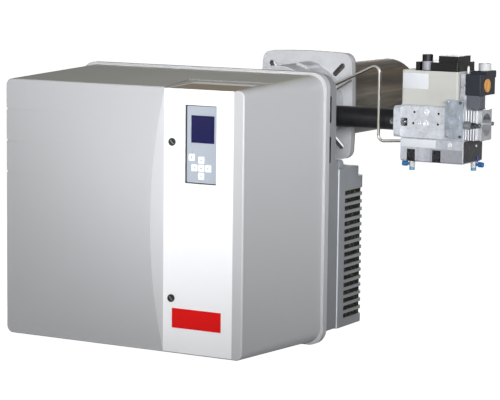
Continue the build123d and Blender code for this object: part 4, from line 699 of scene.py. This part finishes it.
def valve_front_detail():
    """Plugs on the front of the valve and the regulator, thin dark discs as painted shade for the tapped holes, and a
    button on the regulator's right end."""
    # the holes' depth is painted as thin black discs, as painted shade
    turned("valve_tapped_holes", on_valve(TAPPED_HOLES), "front",
           [(2.3, 0), (2.3, 0.12), (1.7, 0.16), (1.5, 0.05), (0.01, 0.05)], HOLE_BLACK, "burner")
    socket_screws("valve_front_plugs", on_valve(PLUGS), "front", 6.0, 1.7, BRIGHT_STEEL, "burner")
    turned("valve_breather", on_valve([BREATHER]), "front",
           [(3.4, 0), (3.4, 0.6), (2.9, 1.0), (2.0, 1.0), (1.7, 0.4), (0.01, 0.4)],
           BRIGHT_STEEL, "burner")
    turned("regulator_plug", [(REG_HIGH.x - 0.029, REG_LOW.y, REG_HIGH.z - 0.0085)], "front",
           [(4.6, 0), (4.6, 0.7), (4.0, 1.2), (2.6, 1.2), (2.2, 0.6), (0.01, 0.6)],
           BRIGHT_STEEL, "burner")
    turned("regulator_side_port", [(REG_HIGH.x, -0.0700, REG_HIGH.z - 0.0125)], "right",
           [(2.6, 0), (2.6, 0.5), (2.1, 0.9), (0.01, 1.0)], PEG_WHITE, "burner")


def switch_detail():
    """The peg on the bracket's top edge and the capillary pin under the regulator."""
    turned("bracket_peg", [(ADAPTOR_LOW.x + 0.0035, -0.0950, ADAPTOR_HIGH.z - 0.001)], "top",
           [(2.6, 0), (2.6, 9), (2.2, 12.5), (1.2, 14.2), (0.01, 14.6)], PEG_WHITE, "burner", 24)
    fitting = (FITTING_HIGH.x + 0.0032, -0.0640, REG_LOW.z - 0.0015)
    turned("regulator_pin", [fitting], "top", [(1.5, 0), (1.5, 10.5), (0.9, 12.5), (0.01, 12.8)],
           PIN_BLUE, "burner", 20)


ARROW = [(0.0, 1.9 * MM), (-1.7 * MM, -1.2 * MM), (1.7 * MM, -1.2 * MM)]
MARK_HEIGHT = 0.12 * MM


def key_marks():
    """Plain direction marks on the keypad, and the small lamp over the reset key."""
    marks = {
        "key_up": ARROW,
        "key_left": spin(ARROW, math.pi / 2),
        "key_down": spin(ARROW, math.pi),
        "key_right": spin(ARROW, -math.pi / 2),
        "key_enter": circle(1.5 * MM, 20),
        "key_reset": rounded(3.0 * MM, 3.4 * MM, 0.5 * MM),
    }
    for node, outline in marks.items():
        shape = bmesh.new()
        prism(shape, front_of(node), "front", outline, MARK_HEIGHT)
        piece(f"{node}_mark", shape, INK, node)
    lamp_place = (DISPLAY_LOW.x + 0.0117, DISPLAY_LOW.y, DISPLAY_LOW.z + 0.0574)
    turned("status_lamp", [lamp_place], "front", [(1.5, 0), (1.5, 0.2), (1.2, 0.6), (0.6, 0.8), (0.01, 0.85)],
           INK, "burner", 24)


def display_surround():
    """The black seal that fills the gap between the display module and the fascia's window."""
    width, height = DISPLAY_HIGH.x - DISPLAY_LOW.x, DISPLAY_HIGH.z - DISPLAY_LOW.z
    place = front_of("display_module")
    inner = rounded(width + 0.1 * MM, height + 0.1 * MM, 1.2 * MM)
    outer = rounded(width + SEAL_WIDTH, height + SEAL_WIDTH, 1.8 * MM)
    shape = bmesh.new()
    section = ((inner, SEAL_BACK), (inner, SEAL_INNER), (outer, SEAL_OUTER), (outer, SEAL_BACK))
    rows = [[shape.verts.new(point) for point in ring(place, "front", *corner)] for corner in section]
    rows.append(rows[0])
    skin(shape, rows)
    piece("display_surround", shape, HOLE_BLACK, "burner")


INSERT_LENGTH, INSERT_WIDTH, INSERT_CORNER, INSERT_HEIGHT = 11.0 * MM, 2.0 * MM, 0.6 * MM, 0.15 * MM
INSERT_TURN = math.radians(-45)


def fastener_slots():
    """A flat grey bar on each quarter-turn fastener, for the slanting driver slot of the photograph. The solid's
    own slot is upright and shows at both sides of the bar."""
    outline = spin(rounded(INSERT_LENGTH, INSERT_WIDTH, INSERT_CORNER), INSERT_TURN)
    for node in ("fastener_upper", "fastener_lower"):
        shape = bmesh.new()
        prism(shape, front_of(node), "front", outline, INSERT_HEIGHT)
        piece(f"{node}_insert", shape, FASTENER_GREY, node)


def inlet_ribs():
    """The ribbed front of the inlet hub, around the near flange nut, with painted shade in its grooves and a painted
    highlight on its crests.
    """
    start, end = VALVE_HIGH.x + 0.0006, INLET_HIGH.x - 0.0095
    low, high = INLET_LOW.z + 0.0015, INLET_HIGH.z - 0.0015
    depth = VALVE_LOW.y + 0.0035
    outline = [(end, depth + 0.012), (start, depth + 0.012)]
    for i in range(RIB_STEPS + 1):
        share = i / RIB_STEPS
        swell = abs(math.sin(math.pi * HUB_RIBS * share)) ** 0.6
        outline.append((start + (end - start) * share, depth - RIB_RISE * swell))
    shape = bmesh.new()
    stack(shape, [[Vector((x, y, z)) for x, y in outline] for z in (low, high)])
    ribs = piece("inlet_ribs", shape, RIB_BRIGHT, "burner")
    ribs.data.materials.append(RIB_GROOVE_SHADE)
    # the faces in the grooves get the darker material, as painted shade
    for face in ribs.data.polygons:
        if face.normal.y < -0.05 and face.center.y > depth - 0.0015:
            face.material_index = 1


valve_labels()
display_surround()
inlet_ribs()
fastener_slots()
valve_front_detail()
switch_detail()
key_marks()


# ------------------------------------------------------------------ stage
FLOOR_DROP = 0.4  # the floor, below the hood
FLOOR_HALF = 12.0
WALL_FOOT, WALL_TOP = 10.0, 13.0
SWEEP_RADIUS, SWEEP_STEPS = 2.0, 16
FLOOR_TONE = 0.4
FLOOR_GLEAM = 0.36  # how bright reflections show the floor
WORLD_LIGHT = 0.16


def floor():
    """A pale floor that turns up into a backdrop; the camera sees it as plain white."""
    level = HOOD_LOW.z - FLOOR_DROP
    mesh = bpy.data.meshes.new("studio_floor")
    rows = [(-FLOOR_HALF, level)]
    for step in range(SWEEP_STEPS + 1):
        angle = math.pi / 2 * step / SWEEP_STEPS
        rows.append((WALL_FOOT + SWEEP_RADIUS * math.sin(angle), level + SWEEP_RADIUS * (1 - math.cos(angle))))
    rows.append((WALL_FOOT + SWEEP_RADIUS, WALL_TOP))
    points = [(x, y, z) for y, z in rows for x in (-FLOOR_HALF, FLOOR_HALF)]
    faces = [(2 * i, 2 * i + 1, 2 * i + 3, 2 * i + 2) for i in range(len(rows) - 1)]
    mesh.from_pydata(points, [], faces)
    for face in mesh.polygons:
        face.use_smooth = True
    sheet = bpy.data.objects.new("studio_floor", mesh)
    bpy.context.scene.collection.objects.link(sheet)
    sheet.data.materials.append(backdrop_material())


def backdrop_material():
    """Diffuse grey for light and shadow, white where the camera looks and a soft glow in reflections."""
    material = bpy.data.materials.new("studio_white")
    material.use_nodes = True
    tree = material.node_tree
    shader = tree.nodes["Principled BSDF"]
    shader.inputs["Base Color"].default_value = (FLOOR_TONE, FLOOR_TONE, FLOOR_TONE, 1)
    shader.inputs["Roughness"].default_value = 1.0
    path = tree.nodes.new("ShaderNodeLightPath")
    seen = tree.nodes.new("ShaderNodeMath")
    seen.operation = "MULTIPLY"
    seen.inputs[1].default_value = FLOOR_GLEAM
    tree.links.new(path.outputs["Is Glossy Ray"], seen.inputs[0])
    glow = tree.nodes.new("ShaderNodeMath")
    glow.operation = "MAXIMUM"
    tree.links.new(seen.outputs[0], glow.inputs[0])
    tree.links.new(path.outputs["Is Camera Ray"], glow.inputs[1])
    shader.inputs["Emission Color"].default_value = (1, 1, 1, 1)
    tree.links.new(glow.outputs[0], shader.inputs["Emission Strength"])
    return material


def lamp(name, place, target, size, power, spread):
    """A rectangular lamp that points at a target. Spread is in degrees."""
    data = bpy.data.lights.new(name, "AREA")
    data.shape = "RECTANGLE"
    data.size, data.size_y = size
    data.energy = power
    data.spread = math.radians(spread)
    light = bpy.data.objects.new(name, data)
    light.location = place
    light.rotation_euler = (Vector(target) - Vector(place)).to_track_quat("-Z", "Y").to_euler()
    bpy.context.scene.collection.objects.link(light)


def lights():
    """The lamps, and a world that is white to the camera and dim to everything else."""
    lamp("key_front", (1.35, -2.55, 0.5), (-0.02, -0.4, 0.2), (1.2, 0.6), 6.3, 46)
    lamp("fill_middle", (0.9, -3.0, 0.15), (0.0, -0.45, -0.12), (0.5, 0.5), 0.27, 17)
    lamp("fill_left", (-1.8, -2.8, -0.02), (-0.2, -0.4, 0.0), (1.4, 0.5), 1.3, 70)
    lamp("rim_right", (2.6, -1.1, 0.5), (0.4, -0.05, 0.07), (0.8, 0.8), 1.2, 34)
    lamp("back_soft", (-0.7, 2.9, 0.1), (-0.1, 0.0, -0.1), (1.6, 0.8), 7.0, 70)
    world = bpy.data.worlds.new("studio_world")
    world.use_nodes = True
    background = world.node_tree.nodes["Background"]
    background.inputs["Color"].default_value = (1, 1, 1, 1)
    path = world.node_tree.nodes.new("ShaderNodeLightPath")
    level = world.node_tree.nodes.new("ShaderNodeMath")
    level.operation = "MAXIMUM"
    level.inputs[1].default_value = WORLD_LIGHT
    world.node_tree.links.new(path.outputs["Is Camera Ray"], level.inputs[0])
    world.node_tree.links.new(level.outputs[0], background.inputs["Strength"])
    bpy.context.scene.world = world


# ------------------------------------------------------------------ camera
CAMERA_PLACE = (2.043, -3.862, 0.362)
CAMERA_YAW = math.radians(29.5)
CAMERA_PITCH = math.radians(7.39)
CAMERA_ROLL = math.radians(0.67)
CAMERA_LENS = 150.8


def camera():
    """The camera at the photograph's viewpoint."""
    ahead = Vector((
        -math.sin(CAMERA_YAW) * math.cos(CAMERA_PITCH),
        math.cos(CAMERA_YAW) * math.cos(CAMERA_PITCH),
        -math.sin(CAMERA_PITCH),
    ))
    level = Vector((math.cos(CAMERA_YAW), math.sin(CAMERA_YAW), 0))
    above = level.cross(ahead)
    right = level * math.cos(CAMERA_ROLL) + above * math.sin(CAMERA_ROLL)
    up = above * math.cos(CAMERA_ROLL) - level * math.sin(CAMERA_ROLL)
    data = bpy.data.cameras.new("camera")
    data.lens = CAMERA_LENS
    data.sensor_width = 36
    data.clip_start = 0.1
    data.clip_end = 60
    eye = bpy.data.objects.new("camera", data)
    turn = Matrix((right, up, -ahead)).transposed().to_4x4()
    eye.matrix_world = Matrix.Translation(CAMERA_PLACE) @ turn
    bpy.context.scene.collection.objects.link(eye)
    bpy.context.scene.camera = eye
    bpy.context.scene.view_settings.view_transform = "Standard"


floor()
lights()
camera()
